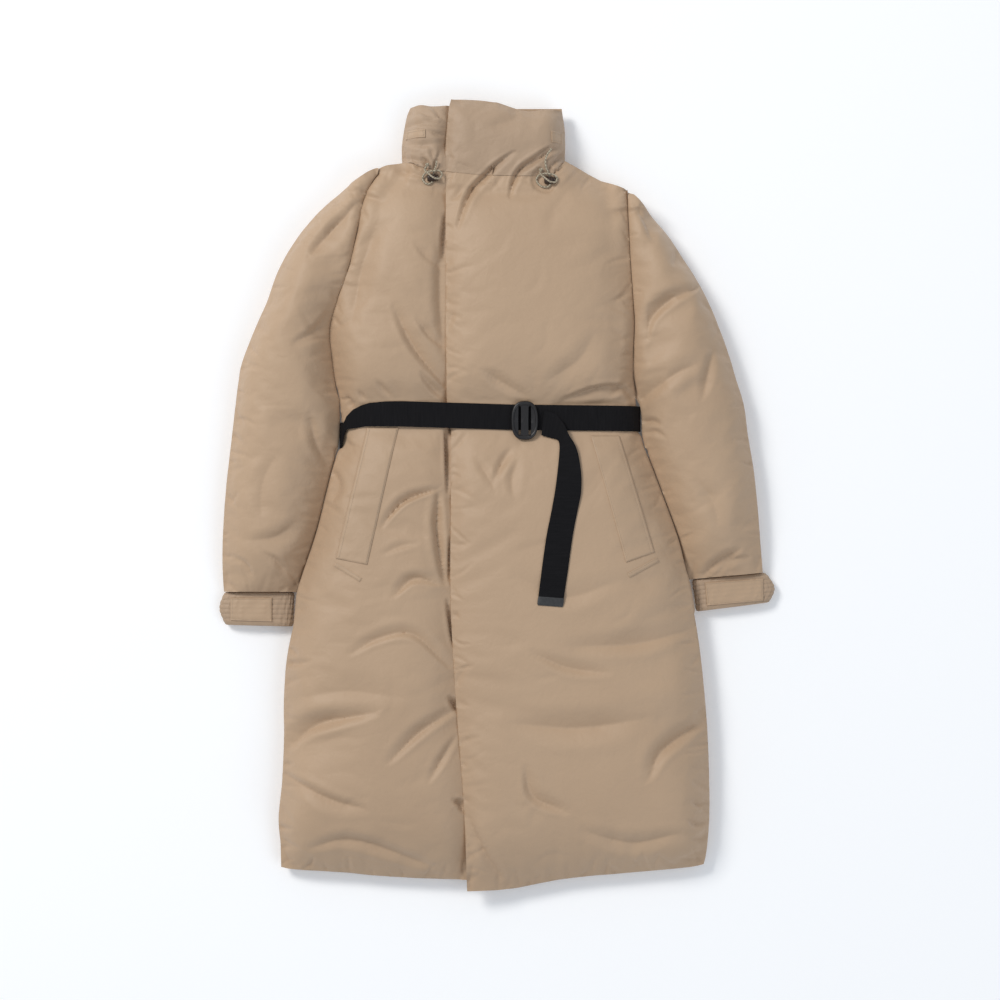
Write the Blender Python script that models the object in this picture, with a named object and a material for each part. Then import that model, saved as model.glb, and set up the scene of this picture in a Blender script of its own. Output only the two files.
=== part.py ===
"""A long down-filled coat, closed with its belt and laid flat on its back.

Units are metres.  +Z is up from the table, +Y runs from the hem to the collar and +X is the
wearer's left.  The origin lies on the table, under the middle of the coat.

Every panel is a padded slab: a grid of points across and along the panel, with a lower and an
upper skin.  The fronts lie on the back, the upper half of each sleeve lies on its lower half, and
the trims lie on the panels.
"""
import math
from collections import namedtuple

import bmesh
import bpy
from mathutils import Vector
from mathutils.bvhtree import BVHTree

# ---------------------------------------------------------------- driving dimensions
SEAM_GAP = 0.0003         # clearance between two pieces that meet
LAP_GAP = 0.0016          # clearance under the flap, where the rows of the two fronts differ
BELT_WIDTH = 0.038        # webbing of the belt
BELT_THICK = 0.0016
BELT_EASE = 0.0004        # how close the belt lies to the cloth
PLACKET_LAP = 0.070       # how far the right front runs on under the left one
LAP_THICK = 0.024         # padding of the right front under the flap's edge
FLAP_EDGE = 0.007         # thickness of the flap's rolled edge
WELT_THICK = 0.0026       # pocket welts
TAB_THICK = 0.0022        # hook-and-loop tabs
CUFF_THICK = 0.021        # flattened cuff, both layers
CUFF_WALL = 0.0090
CORD_DIAMETER = 0.0028    # elastic drawcord of the collar
SIDE_ROUND = 0.052        # how far in from a side seam the fronts reach their full height
BACK_ROUND = 0.030        # the same for the underside of the back
EDGE_THICK = 0.004        # padding left at a sewn edge
SHOULDER_DROP = 0.060     # rounding of the shoulders towards their fold

Point = namedtuple("Point", "x y")

# Side lines of the body from the shoulder to the hem corner: first the armhole seam, then the
# side seam.  "right" is the wearer's right, which is -X.
RIGHT_SIDE = [Point(*p) for p in (
    (-0.1755, 0.486), (-0.1965, 0.452), (-0.2055, 0.411), (-0.213, 0.377), (-0.228, 0.317),
    (-0.248, 0.275), (-0.249, 0.227), (-0.243, 0.170), (-0.233, 0.138), (-0.2285, 0.117),
    (-0.2295, 0.094), (-0.2335, 0.070), (-0.247, 0.034), (-0.268, -0.051), (-0.291, -0.119), (-0.298, -0.156),
    (-0.307, -0.204), (-0.3165, -0.250), (-0.3195, -0.290), (-0.3195, -0.389),
    (-0.319, -0.413), (-0.330, -0.456), (-0.327, -0.501), (-0.3255, -0.562))]
LEFT_SIDE = [Point(*p) for p in (
    (0.195, 0.459), (0.1965, 0.399), (0.201, 0.324), (0.2055, 0.257), (0.204, 0.197),
    (0.2085, 0.144), (0.2105, 0.114), (0.213, 0.092), (0.2215, 0.066), (0.243, 0.012), (0.2715, -0.066),
    (0.291, -0.156), (0.3015, -0.216), (0.3105, -0.291), (0.3165, -0.374), (0.3195, -0.478),
    (0.316, -0.535), (0.3115, -0.5555))]

# Upper edge of the body: right shoulder, neck seam, left shoulder.
TOP_LINE = [Point(*p) for p in (
    (-0.1755, 0.486), (-0.1575, 0.492), (-0.1425, 0.4985), (-0.1275, 0.4975), (-0.1155, 0.492),
    (-0.0975, 0.4875), (-0.0765, 0.4845), (-0.0195, 0.479), (0.072, 0.478), (0.0885, 0.487),
    (0.102, 0.5015), (0.1275, 0.489), (0.153, 0.4745), (0.174, 0.4665), (0.195, 0.459))]
NECK_RIGHT_X = -0.1425
NECK_LEFT_X = 0.102
SHOULDER_WIDTH = LEFT_SIDE[0].x - RIGHT_SIDE[0].x
NECK_RIGHT = (NECK_RIGHT_X - RIGHT_SIDE[0].x) / SHOULDER_WIDTH
NECK_LEFT = (NECK_LEFT_X - RIGHT_SIDE[0].x) / SHOULDER_WIDTH

# Lower edges of the two fronts.
HEM_RIGHT = [Point(*p) for p in (
    (-0.330, -0.5585), (-0.306, -0.5625), (-0.240, -0.566), (-0.165, -0.573),
    (-0.048, -0.5775), (0.040, -0.577))]
HEM_LEFT = [Point(*p) for p in (
    (-0.048, -0.594), (0.0225, -0.591), (0.0585, -0.5835), (0.114, -0.5745),
    (0.198, -0.567), (0.2985, -0.558), (0.320, -0.553))]
HEM_BACK = [Point(*p) for p in (
    (-0.330, -0.5555), (-0.240, -0.562), (-0.048, -0.571), (0.114, -0.569), (0.320, -0.549))]

# Visible edge of the left front, which laps over the right one.
FLAP_EDGE_LINE = [Point(*p) for p in (
    (-0.0765, 0.594), (-0.075, 0.144), (-0.069, 0.095), (-0.069, -0.149), (-0.0615, -0.297),
    (-0.0495, -0.464), (-0.045, -0.594))]

# Middle of the belt; it drops where it goes round the wearer's right side.
BELT_LINE = [Point(*p) for p in (
    (-0.240, 0.088), (-0.2315, 0.093), (-0.215, 0.106), (-0.190, 0.119), (-0.1425, 0.1225),
    (0.020, 0.1175), (0.220, 0.1155))]
BELT_BAND = BELT_WIDTH / 2 + 0.003     # half of the pinched band under the belt

# Shape of the body along its length: height of the crown, height of the side seam, padding
# along the side lines (thick where the armhole seam is sewn in).
Girth = namedtuple("Girth", "y crown seam edge")
BODY_GIRTHS = [Girth(*g) for g in (
    (0.510, 0.052, 0.024, 0.016), (0.470, 0.068, 0.026, 0.022), (0.420, 0.082, 0.029, 0.027),
    (0.330, 0.090, 0.030, 0.024), (0.250, 0.089, 0.030, 0.012), (0.190, 0.086, 0.030, 0.006),
    (0.160, 0.079, 0.029, 0.004), (0.139, 0.063, 0.028, 0.003), (0.096, 0.063, 0.028, 0.003),
    (0.072, 0.074, 0.029, 0.004), (0.020, 0.083, 0.030, 0.004), (-0.150, 0.086, 0.030, 0.004),
    (-0.300, 0.090, 0.030, 0.004), (-0.440, 0.086, 0.028, 0.004), (-0.520, 0.074, 0.024, 0.004),
    (-0.560, 0.056, 0.019, 0.005), (-0.600, 0.040, 0.015, 0.006))]
BACK_CHANNEL = BELT_THICK + 0.0005     # hollow for the belt in the underside of the back
HEM_ROUND = 0.055
HEM_THICK = 0.010
NECK_THICK = 0.021
NECK_GAP = 0.0012

# The broadest folds of the fronts: a trough (or a ridge, if its depth is negative).
Fold = namedtuple("Fold", "x0 y0 x1 y1 width depth")
BODY_FOLDS = [Fold(*f) for f in (
    (-0.150, 0.280, -0.085, 0.165, 0.045, 0.010),
    (-0.185, 0.400, -0.215, 0.270, 0.040, 0.007),
    (0.036, 0.517, -0.055, 0.411, 0.040, 0.006),
    (0.100, 0.125, 0.190, 0.150, 0.030, 0.008),
    (-0.165, -0.036, -0.085, 0.009, 0.045, 0.007),
    (-0.216, -0.234, -0.175, -0.212, 0.045, 0.007),
    (-0.318, -0.378, -0.180, -0.321, 0.050, 0.012),
    (-0.160, -0.395, -0.066, -0.321, 0.045, 0.009),
    (-0.280, -0.530, -0.100, -0.555, 0.045, 0.006),
    (0.020, -0.338, 0.215, -0.332, 0.060, 0.010),
    (0.225, -0.418, 0.312, -0.338, 0.045, 0.010),
    (0.117, -0.224, 0.296, -0.200, 0.050, 0.007),
    (0.042, -0.407, 0.100, -0.470, 0.045, 0.008),
    (0.020, 0.070, 0.062, 0.070, 0.030, 0.009))]

# Sleeves: outer outline from the shoulder down to the cuff, then the inner edge below the belt,
# where it leaves the side of the body.
RIGHT_SLEEVE_OUTER = [Point(*p) for p in (
    (-0.180, 0.4895), (-0.210, 0.474), (-0.234, 0.456), (-0.255, 0.438), (-0.2745, 0.420),
    (-0.303, 0.384), (-0.324, 0.348), (-0.3405, 0.312), (-0.351, 0.276), (-0.369, 0.240),
    (-0.381, 0.210), (-0.3885, 0.174), (-0.396, 0.114), (-0.402, 0.060), (-0.408, 0.006),
    (-0.4125, -0.060), (-0.4135, -0.110), (-0.412, -0.1445))]
RIGHT_SLEEVE_INNER = [Point(*p) for p in (
    (-0.236, 0.138), (-0.237, 0.117), (-0.2395, 0.092), (-0.2525, 0.034), (-0.2735, -0.051),
    (-0.2955, -0.119), (-0.3065, -0.1445))]
LEFT_SLEEVE_OUTER = [Point(*p) for p in (
    (0.198, 0.459), (0.219, 0.438), (0.2445, 0.402), (0.2655, 0.384), (0.2835, 0.348),
    (0.309, 0.312), (0.324, 0.276), (0.339, 0.240), (0.351, 0.204), (0.3615, 0.168),
    (0.372, 0.132), (0.3765, 0.096), (0.3855, 0.042), (0.390, 0.006), (0.3945, -0.048),
    (0.398, -0.084), (0.401, -0.1155))]
LEFT_SLEEVE_INNER = [Point(*p) for p in (
    (0.2135, 0.144), (0.2185, 0.114), (0.222, 0.084), (0.2435, 0.024), (0.2735, -0.060),
    (0.2865, -0.106), (0.294, -0.1255))]

# Shape of a sleeve from its head (0) to the cuff seam (1): crown, seam height.
Section = namedtuple("Section", "along crown seam")
SLEEVE_SECTIONS = [Section(*s) for s in (
    (0.00, 0.054, 0.024), (0.06, 0.066, 0.027), (0.16, 0.080, 0.030), (0.32, 0.088, 0.031),
    (0.50, 0.084, 0.030), (0.68, 0.076, 0.028), (0.84, 0.068, 0.026), (0.93, 0.058, 0.022),
    (1.00, 0.030, 0.013))]
SLEEVE_FOLDS = [Fold(*f) for f in (
    (-0.210, 0.430, -0.275, 0.362, 0.040, 0.009),
    (-0.279, 0.118, -0.250, 0.050, 0.045, 0.008),
    (0.223, 0.234, 0.295, 0.303, 0.045, 0.009),
    (0.306, 0.147, 0.318, 0.200, 0.040, 0.005),
    (0.300, -0.112, 0.372, -0.072, 0.040, 0.008))]

# Collar: side folds and upper edges, as the neck seam is shared with the body.
COLLAR_RIGHT_SIDE = [Point(*p) for p in (
    (-0.1305, 0.5835), (-0.135, 0.573), (-0.1405, 0.546), (-0.1435, 0.520), (-0.1425, 0.4985))]
COLLAR_LEFT_SIDE = [Point(*p) for p in (
    (0.0975, 0.5775), (0.101, 0.562), (0.1025, 0.541), (0.102, 0.5015))]
COLLAR_TOP_RIGHT = [Point(*p) for p in (
    (-0.1305, 0.5835), (-0.1215, 0.5865), (-0.0945, 0.5835), (-0.0765, 0.585), (0.0, 0.583))]
COLLAR_TOP_LEFT = [Point(*p) for p in (
    (-0.0765, 0.594), (-0.0255, 0.5925), (0.012, 0.5865), (0.0345, 0.5765), (0.0585, 0.579),
    (0.0975, 0.5785))]
COLLAR_CROWN = 0.068
COLLAR_SEAM = 0.025
COLLAR_ROUND = 0.030
COLLAR_LAP = 0.016
COLLAR_LAP_GAP = 0.0026   # clearance between the two ends of the collar where they lap
COLLAR_LAP_STEP = 0.006   # the left end's underside comes down within this stretch
CROWN_FALL = 0.006        # how much lower the fronts are at the sides than in the middle
FLAP_STEP = 0.006         # first column of the left front past the flap

# Cuffs: outer and inner end of the band at its seam, its middle and its open edge.
CUFF_RIGHT = [(Point(-0.4125, -0.1452), Point(-0.3065, -0.1452)),
              (Point(-0.4195, -0.1700), Point(-0.3070, -0.1705)),
              (Point(-0.4110, -0.1940), Point(-0.3080, -0.1965))]
CUFF_LEFT = [(Point(0.4060, -0.1157), Point(0.2945, -0.1262)),
             (Point(0.4195, -0.1380), Point(0.2980, -0.1500)),
             (Point(0.4120, -0.1600), Point(0.3010, -0.1740))]

# Flat trims: corners in the order outer top, inner top, outer bottom, inner bottom.
Trim = namedtuple("Trim", "outer_top inner_top outer_bottom inner_bottom")
WELT_RIGHT = Trim(Point(-0.1955, 0.091), Point(-0.1560, 0.091), Point(-0.2400, -0.0915),
                  Point(-0.1945, -0.0990))
WELT_LEFT = Trim(Point(0.1830, 0.090), Point(0.1400, 0.090), Point(0.2345, -0.0835),
                 Point(0.1915, -0.0985))
BAR_RIGHT = Trim(Point(-0.2400, -0.0985), Point(-0.2000, -0.1215), Point(-0.2435, -0.1045),
                 Point(-0.2035, -0.1275))
BAR_LEFT = Trim(Point(0.2380, -0.0910), Point(0.1930, -0.1150), Point(0.2415, -0.0975),
                Point(0.1965, -0.1215))
CUFF_TAB_RIGHT = Trim(Point(-0.4020, -0.1530), Point(-0.3390, -0.1530), Point(-0.4020, -0.1880),
                      Point(-0.3390, -0.1900))
CUFF_TAB_LEFT = Trim(Point(0.4020, -0.1240), Point(0.3135, -0.1300), Point(0.4020, -0.1580),
                     Point(0.3165, -0.1660))
COLLAR_TAB_RIGHT = Trim(Point(-0.1360, 0.5470), Point(-0.1065, 0.5465), Point(-0.1370, 0.5340),
                        Point(-0.1065, 0.5340))
COLLAR_TAB_LEFT = Trim(Point(0.0980, 0.5430), Point(0.0810, 0.5430), Point(0.0980, 0.5285),
                       Point(0.0810, 0.5285))

# Free end of the belt: its lower or left edge and its upper or right edge, from the buckle down.
Strap = namedtuple("Strap", "ax ay bx by")
TAIL = [Strap(*t) for t in (
    (0.066, 0.0893, 0.072, 0.1275), (0.0795, 0.0863, 0.087, 0.1215),
    (0.0915, 0.0825, 0.1035, 0.1065), (0.093, 0.075, 0.1105, 0.090),
    (0.0923, 0.0615, 0.1195, 0.0705), (0.090, 0.0375, 0.1245, 0.039),
    (0.0863, 0.009, 0.1250, 0.0075), (0.081, -0.021, 0.120, -0.0195),
    (0.0735, -0.0585, 0.1125, -0.0578), (0.0668, -0.105, 0.1058, -0.105),
    (0.0612, -0.150, 0.099, -0.153))]
TIP = [Strap(*t) for t in ((0.0611, -0.1506, 0.0989, -0.1536), (0.0600, -0.162, 0.0976, -0.1665))]
TIP_THICK = 0.0026

BUCKLE = Vector((0.0413, 0.1125))      # middle of the oval slider
BUCKLE_SIZE = (0.040, 0.058, 0.0050)
BUCKLE_SLOT = (0.0038, 0.042)
BUCKLE_SLOT_PITCH = 0.0150
BUCKLE_CORNERS = 2.6                   # exponent of its outline, 2 is an ellipse

# Free ends of the collar's elastic drawcord: out at the neck seam, through the cord lock, round
# in a loose loop and back up to a knot.  The lock sits on the point that LOCK_AT counts to.
CORD_RIGHT = [(-0.0900, 0.4995, 0.0702), (-0.0905, 0.4935, 0.0695), (-0.0928, 0.4870, 0.0680),
              (-0.0945, 0.4810, 0.0665), (-0.0955, 0.4745, 0.0655), (-0.0965, 0.4680, 0.0650),
              (-0.1010, 0.4630, 0.0658), (-0.1080, 0.4620, 0.0666), (-0.1135, 0.4665, 0.0650),
              (-0.1145, 0.4740, 0.0635), (-0.1115, 0.4815, 0.0650), (-0.1065, 0.4865, 0.0672),
              (-0.1050, 0.4905, 0.0692)]
CORD_LEFT = [(0.0810, 0.5175, 0.0692), (0.0750, 0.5085, 0.0706), (0.0720, 0.4995, 0.0704),
             (0.0730, 0.4905, 0.0702), (0.0760, 0.4820, 0.0690), (0.0785, 0.4760, 0.0676),
             (0.0790, 0.4705, 0.0668), (0.0793, 0.4640, 0.0662), (0.0770, 0.4580, 0.0668),
             (0.0712, 0.4550, 0.0676), (0.0650, 0.4578, 0.0662), (0.0615, 0.4640, 0.0645),
             (0.0612, 0.4720, 0.0645), (0.0628, 0.4785, 0.0668), (0.0645, 0.4830, 0.0692)]
LOCK_AT_RIGHT = 4
LOCK_AT_LEFT = 6
LOCK_RADIUS = 0.0055
LOCK_LENGTH = 0.0170
LOCK_HOLE = 0.0021
KNOT_RADIUS = 0.0030

Colour = namedtuple("Colour", "red green blue rough metal")
SHELL_CLOTH = Colour(0.44, 0.33, 0.235, 0.62, 0.0)
SHELL_SHADE = Colour(0.40, 0.30, 0.21, 0.64, 0.0)
TRIM_CLOTH = Colour(0.38, 0.28, 0.20, 0.66, 0.0)
WEBBING = Colour(0.012, 0.011, 0.014, 0.80, 0.0)
BLACK_PLASTIC = Colour(0.010, 0.009, 0.010, 0.42, 0.0)
GREY_TIP = Colour(0.045, 0.045, 0.046, 0.45, 0.0)
LOCK_PLASTIC = Colour(0.045, 0.022, 0.013, 0.40, 0.0)
CORD_CLOTH = Colour(0.46, 0.40, 0.30, 0.75, 0.0)


# ---------------------------------------------------------------- lines and tables
def smooth(keys, values, at):
    """Value at a key on a smooth curve through a table with rising keys."""
    if at <= keys[0]:
        return values[0]
    if at >= keys[-1]:
        return values[-1]
    i = max(k for k in range(len(keys) - 1) if keys[k] <= at)
    step = keys[i + 1] - keys[i]
    slopes = []
    for k in (i, i + 1):
        before, after = max(k - 1, 0), min(k + 1, len(keys) - 1)
        slopes.append((values[after] - values[before]) / (keys[after] - keys[before]))
    t = (at - keys[i]) / step
    return ((2 * t**3 - 3 * t**2 + 1) * values[i] + (t**3 - 2 * t**2 + t) * step * slopes[0]
            + (3 * t**2 - 2 * t**3) * values[i + 1] + (t**3 - t**2) * step * slopes[1])


def x_at(line, y):
    rising = line[::-1]
    return smooth([p.y for p in rising], [p.x for p in rising], y)


def y_at(line, x):
    return smooth([p.x for p in line], [p.y for p in line], x)


def mix(a, b, t):
    return a + (b - a) * t


def girth(y, column):
    rising = BODY_GIRTHS[::-1]
    return smooth([g.y for g in rising], [getattr(g, column) for g in rising], y)


def rise(distance, reach):
    """0 at a sewn edge, 1 from `reach` inwards, round like the side of a pillow."""
    t = min(max(distance / reach, 0.0), 1.0)
    return math.sqrt(1 - (1 - t) ** 2)


def resample(line, fractions):
    """Points at fractions of a line's length."""
    lengths = [0.0]
    for a, b in zip(line, line[1:]):
        lengths.append(lengths[-1] + math.hypot(b.x - a.x, b.y - a.y))
    xs, ys = [p.x for p in line], [p.y for p in line]
    return [Point(smooth(lengths, xs, f * lengths[-1]), smooth(lengths, ys, f * lengths[-1]))
            for f in fractions]


def fold_depth(folds, x, y):
    """How far the folds press the surface down at a point."""
    total = 0.0
    for fold in folds:
        along = Vector((fold.x1 - fold.x0, fold.y1 - fold.y0))
        offset = Vector((x - fold.x0, y - fold.y0))
        t = min(max(offset.dot(along) / along.length_squared, 0.0), 1.0)
        away = (offset - along * t).length / fold.width
        if away < 1:
            total += fold.depth * (1 - away**2) ** 2
    return total


# ---------------------------------------------------------------- objects
def paint(obj, name, colour):
    material = bpy.data.materials.get(name)
    if material is None:
        material = bpy.data.materials.new(name)
        material.use_nodes = True
        shader = material.node_tree.nodes["Principled BSDF"]
        shader.inputs["Base Color"].default_value = (colour.red, colour.green, colour.blue, 1)
        shader.inputs["Roughness"].default_value = colour.rough
        shader.inputs["Metallic"].default_value = colour.metal
    obj.data.materials.append(material)


def add_mesh(name, points, faces, paint_name, colour):
    """A named mesh object with outward faces and smooth shading up to 50 degrees."""
    mesh = bpy.data.meshes.new(name)
    mesh.from_pydata(points, [], faces)
    shape = bmesh.new()
    shape.from_mesh(mesh)
    bmesh.ops.recalc_face_normals(shape, faces=shape.faces)
    bmesh.ops.triangulate(shape, faces=[f for f in shape.faces if len(f.verts) > 3])
    shape.to_mesh(mesh)
    shape.free()
    mesh.shade_smooth()
    mesh.set_sharp_from_angle(angle=math.radians(50))
    obj = bpy.data.objects.new(name, mesh)
    bpy.context.scene.collection.objects.link(obj)
    paint(obj, paint_name, colour)
    return obj


def slab(name, low, high, paint_name, colour):
    """A closed slab between two grids of points, low[row][column] and high[row][column]."""
    rows, columns = len(low), len(low[0])
    points = [p for row in low for p in row] + [p for row in high for p in row]

    def at(skin, row, column):
        return (skin * rows + row) * columns + column

    faces = []
    for skin in (0, 1):
        for i in range(rows - 1):
            for j in range(columns - 1):
                faces.append((at(skin, i, j), at(skin, i, j + 1),
                              at(skin, i + 1, j + 1), at(skin, i + 1, j)))
    for i in range(rows - 1):
        for j in (0, columns - 1):
            faces.append((at(0, i, j), at(0, i + 1, j), at(1, i + 1, j), at(1, i, j)))
    for j in range(columns - 1):
        for i in (0, rows - 1):
            faces.append((at(0, i, j), at(0, i, j + 1), at(1, i, j + 1), at(1, i, j)))
    return add_mesh(name, points, faces, paint_name, colour)


# ---------------------------------------------------------------- body
# Rows run across the body: 0 is the shoulder and neck line, 1 the upper edge of the belt's band,
# 2 its lower edge and 3 the hem.  All the body's panels share them.
ROWS_ABOVE_BELT = (0, 0.05, 0.14, 0.26, 0.38, 0.50, 0.62, 0.74, 0.86, 0.94)
ROWS_BELOW_BELT = (0, 0.035, 0.10, 0.19, 0.29, 0.39, 0.49, 0.59, 0.69, 0.79, 0.88, 0.945, 0.982, 1)
BODY_ROWS = list(ROWS_ABOVE_BELT) + [1] + [2 + r for r in ROWS_BELOW_BELT]


def row_y(row, x, hem):
    """Height up the coat of one of the body's rows at x."""
    top, belt, bottom = y_at(TOP_LINE, x), y_at(BELT_LINE, x), y_at(hem, x)
    if row <= 1:
        return mix(top, belt + BELT_BAND, row)
    if row <= 2:
        return belt + BELT_BAND * (3 - 2 * row)
    return mix(belt - BELT_BAND, bottom, row - 2)


def on_line(line, row, hem):
    """Where a row meets a line that runs down the body."""
    x = line[0].x
    for _ in range(6):
        x = x_at(line, row_y(row, x, hem))
    return x


def at_neck(x):
    return NECK_RIGHT_X - SEAM_GAP < x < NECK_LEFT_X + SEAM_GAP


def seam_height(row):
    """The back and the fronts meet at this height all along a row."""
    return girth(row_y(row, 0.0, HEM_RIGHT), "seam")


def envelope(row, x, y):
    """Upper surface of the closed fronts, without the flap's step."""
    right, left = x_at(RIGHT_SIDE, y), x_at(LEFT_SIDE, y)
    seam, padding = seam_height(row) + SEAM_GAP, girth(y, "edge")
    middle, half = (right + left) / 2, (left - right) / 2
    core = (girth(y, "crown") - CROWN_FALL * ((x - middle) / half) ** 2
            - fold_depth(BODY_FOLDS, x, y) - seam)
    top_reach = 0.050 if at_neck(x) else SHOULDER_DROP
    top_padding = NECK_THICK if at_neck(x) else EDGE_THICK * 2
    hem = y_at(HEM_RIGHT, x) if x < x_at(FLAP_EDGE_LINE, y) else y_at(HEM_LEFT, x)
    sides = rise(x - right, SIDE_ROUND) * rise(left - x, SIDE_ROUND)
    top = rise(y_at(TOP_LINE, x) - y, top_reach)
    bottom = rise(y - hem, HEM_ROUND)
    return seam + max(core * sides * top * bottom, padding * (1 - sides) * top * bottom,
                      top_padding * (1 - top) * sides, HEM_THICK * (1 - bottom) * sides,
                      EDGE_THICK)


def lap(row, past_flap):
    """Upper surface of the right front where it runs on under the flap."""
    across = min(max(past_flap / PLACKET_LAP, 0.0), 1.0)
    thin = min(1.0, girth(row_y(row, 0.0, HEM_RIGHT), "crown") / 0.086)
    return seam_height(row) + SEAM_GAP + mix(LAP_THICK * thin, EDGE_THICK, across**2)


# Columns run down the body.  Each list gives their places on one row, and one of them lands on
# each end of the neck seam, where the collar takes them over.
BACK_COLUMNS = (0, 0.03, NECK_RIGHT, 0.18, 0.29, 0.40, 0.50, 0.60, 0.675, 0.7165, NECK_LEFT, 0.84, 0.91,
                0.97, 1)
FRONT_RIGHT_COLUMNS = (0, 0.05, 0.16, 0.3333, 0.50, 0.68, 0.84)
FRONT_LEFT_COLUMNS = (0, 0.22, 0.38, 0.46, 0.522, 0.69, 0.83, 0.94, 1)
LAP_COLUMNS = (0, 0.004, 0.012, 0.025, 0.048, PLACKET_LAP + 0.001)


def back_xs(row):
    right, left = on_line(RIGHT_SIDE, row, HEM_BACK), on_line(LEFT_SIDE, row, HEM_BACK)
    return [mix(right, left, across) for across in BACK_COLUMNS]


def front_right_xs(row):
    side, flap = on_line(RIGHT_SIDE, row, HEM_RIGHT), on_line(FLAP_EDGE_LINE, row, HEM_RIGHT)
    return ([mix(side, flap, across) for across in FRONT_RIGHT_COLUMNS]
            + [flap + d for d in (-0.012, -0.004, -0.0005, 0.025, 0.048, PLACKET_LAP)])


def front_left_xs(row):
    side, flap = on_line(LEFT_SIDE, row, HEM_LEFT), on_line(FLAP_EDGE_LINE, row, HEM_LEFT)
    laps = [flap + d for d in LAP_COLUMNS]
    return laps + [mix(laps[-1] + FLAP_STEP, side, across) for across in FRONT_LEFT_COLUMNS]


def back_panel():
    low, high = [], []
    for row in BODY_ROWS:
        xs = back_xs(row)
        low.append([])
        high.append([])
        for x in xs:
            y = row_y(row, x, HEM_BACK)
            seam = seam_height(row)
            edges = rise(x - xs[0], BACK_ROUND) * rise(xs[-1] - x, BACK_ROUND)
            edges *= rise(y - y_at(HEM_BACK, x), BACK_ROUND)
            edges *= 1 if at_neck(x) else rise(y_at(TOP_LINE, x) - y, BACK_ROUND)
            bottom = (seam - EDGE_THICK) * (1 - edges)
            if 1 <= row <= 2:
                bottom = max(bottom, BACK_CHANNEL)
            low[-1].append((x, y, bottom))
            high[-1].append((x, y, seam))
    return slab("back", low, high, "shell_cloth", SHELL_CLOTH)


def front_right_panel():
    """The right front: side seam to flap edge, then on under the flap."""
    low, high = [], []
    for row in BODY_ROWS:
        low.append([])
        high.append([])
        xs = front_right_xs(row)
        flap = xs[-1] - PLACKET_LAP
        for place, x in enumerate(xs):
            y = row_y(row, x, HEM_RIGHT)
            bottom = seam_height(row) + SEAM_GAP
            top = lap(row, x - flap)
            if place <= len(FRONT_RIGHT_COLUMNS):
                top = envelope(row, x, y)
            elif place == len(FRONT_RIGHT_COLUMNS) + 1:
                top = mix(top, max(envelope(row, x, y), top), 0.6)
            low[-1].append((x, y, bottom))
            high[-1].append((x, y, max(top, bottom + EDGE_THICK)))
    return slab("front_right", low, high, "shell_cloth", SHELL_CLOTH)


def front_left_panel():
    """The left front: its flap lies on the right front, the rest on the back."""
    low, high = [], []
    for row in BODY_ROWS:
        xs = front_left_xs(row)
        low.append([])
        high.append([])
        for place, x in enumerate(xs):
            y = row_y(row, x, HEM_LEFT)
            bottom = seam_height(row) + SEAM_GAP
            if place < len(LAP_COLUMNS):
                bottom = lap(row, x - xs[0]) + LAP_GAP
            roll = rise(x - xs[0] + 0.001, 0.013)
            top = mix(bottom + FLAP_EDGE, envelope(row, x, y), roll)
            low[-1].append((x, y, bottom))
            high[-1].append((x, y, max(top, bottom + EDGE_THICK)))
    return slab("front_left", low, high, "shell_cloth", SHELL_CLOTH)


# ---------------------------------------------------------------- sleeves
SLEEVE_COLUMNS = (0, 0.05, 0.15, 0.32, 0.50, 0.68, 0.85, 0.95, 1)
SLEEVE_LOWER_ROWS = (0.14, 0.30, 0.48, 0.66, 0.82, 0.93, 1)


def sleeve_edges(side_line, outer_line, inner_line, outward):
    """Matching points down the inner and the outer edge of a sleeve."""
    inner = []
    for row in ROWS_ABOVE_BELT[:-1]:
        x = on_line(side_line, row, HEM_BACK)
        inner.append(Point(x + outward * 2 * SEAM_GAP, row_y(row, x, HEM_BACK)))
    inner += resample(inner_line, (0,) + SLEEVE_LOWER_ROWS)
    travelled = [0.0]
    for a, b in zip(inner, inner[1:]):
        travelled.append(travelled[-1] + math.hypot(b.x - a.x, b.y - a.y))
    outer = resample(outer_line, [t / travelled[-1] for t in travelled])
    return inner, outer, [t / travelled[-1] for t in travelled]


def sleeve(side, side_line, outer_line, inner_line, outward):
    """Both halves of a sleeve, meeting at the folds along its two edges."""
    inner, outer, fractions = sleeve_edges(side_line, outer_line, inner_line, outward)
    alongs = [s.along for s in SLEEVE_SECTIONS]
    floor, middle_low, middle_high, top = [], [], [], []
    for start, end, fraction in zip(outer, inner, fractions):
        crown = smooth(alongs, [s.crown for s in SLEEVE_SECTIONS], fraction)
        seam = smooth(alongs, [s.seam for s in SLEEVE_SECTIONS], fraction)
        inner_edge = girth(end.y, "edge") if end.y > 0.16 else EDGE_THICK
        for grid in (floor, middle_low, middle_high, top):
            grid.append([])
        for across in SLEEVE_COLUMNS:
            x, y = mix(start.x, end.x, across), mix(start.y, end.y, across)
            off_middle = abs(2 * across - 1)
            lift = max(0.0, (off_middle - 0.70) / 0.30) ** 1.6
            pillow = (1 - off_middle**2.5) ** 0.6
            base = seam + SEAM_GAP + mix(EDGE_THICK, inner_edge, across**3)
            height = mix(base, crown - fold_depth(SLEEVE_FOLDS, x, y), pillow)
            floor[-1].append((x, y, (seam - EDGE_THICK) * lift))
            middle_low[-1].append((x, y, seam))
            middle_high[-1].append((x, y, seam + SEAM_GAP))
            top[-1].append((x, y, max(height, seam + SEAM_GAP + EDGE_THICK)))
    slab("sleeve_%s_under" % side, floor, middle_low, "shell_cloth", SHELL_CLOTH)
    slab("sleeve_%s_top" % side, middle_high, top, "shell_cloth", SHELL_CLOTH)


# ---------------------------------------------------------------- collar
COLLAR_ROWS = (0, 0.12, 0.35, 0.62, 0.86, 1)


NECK_WIDTH = NECK_LEFT_X - NECK_RIGHT_X


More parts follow.
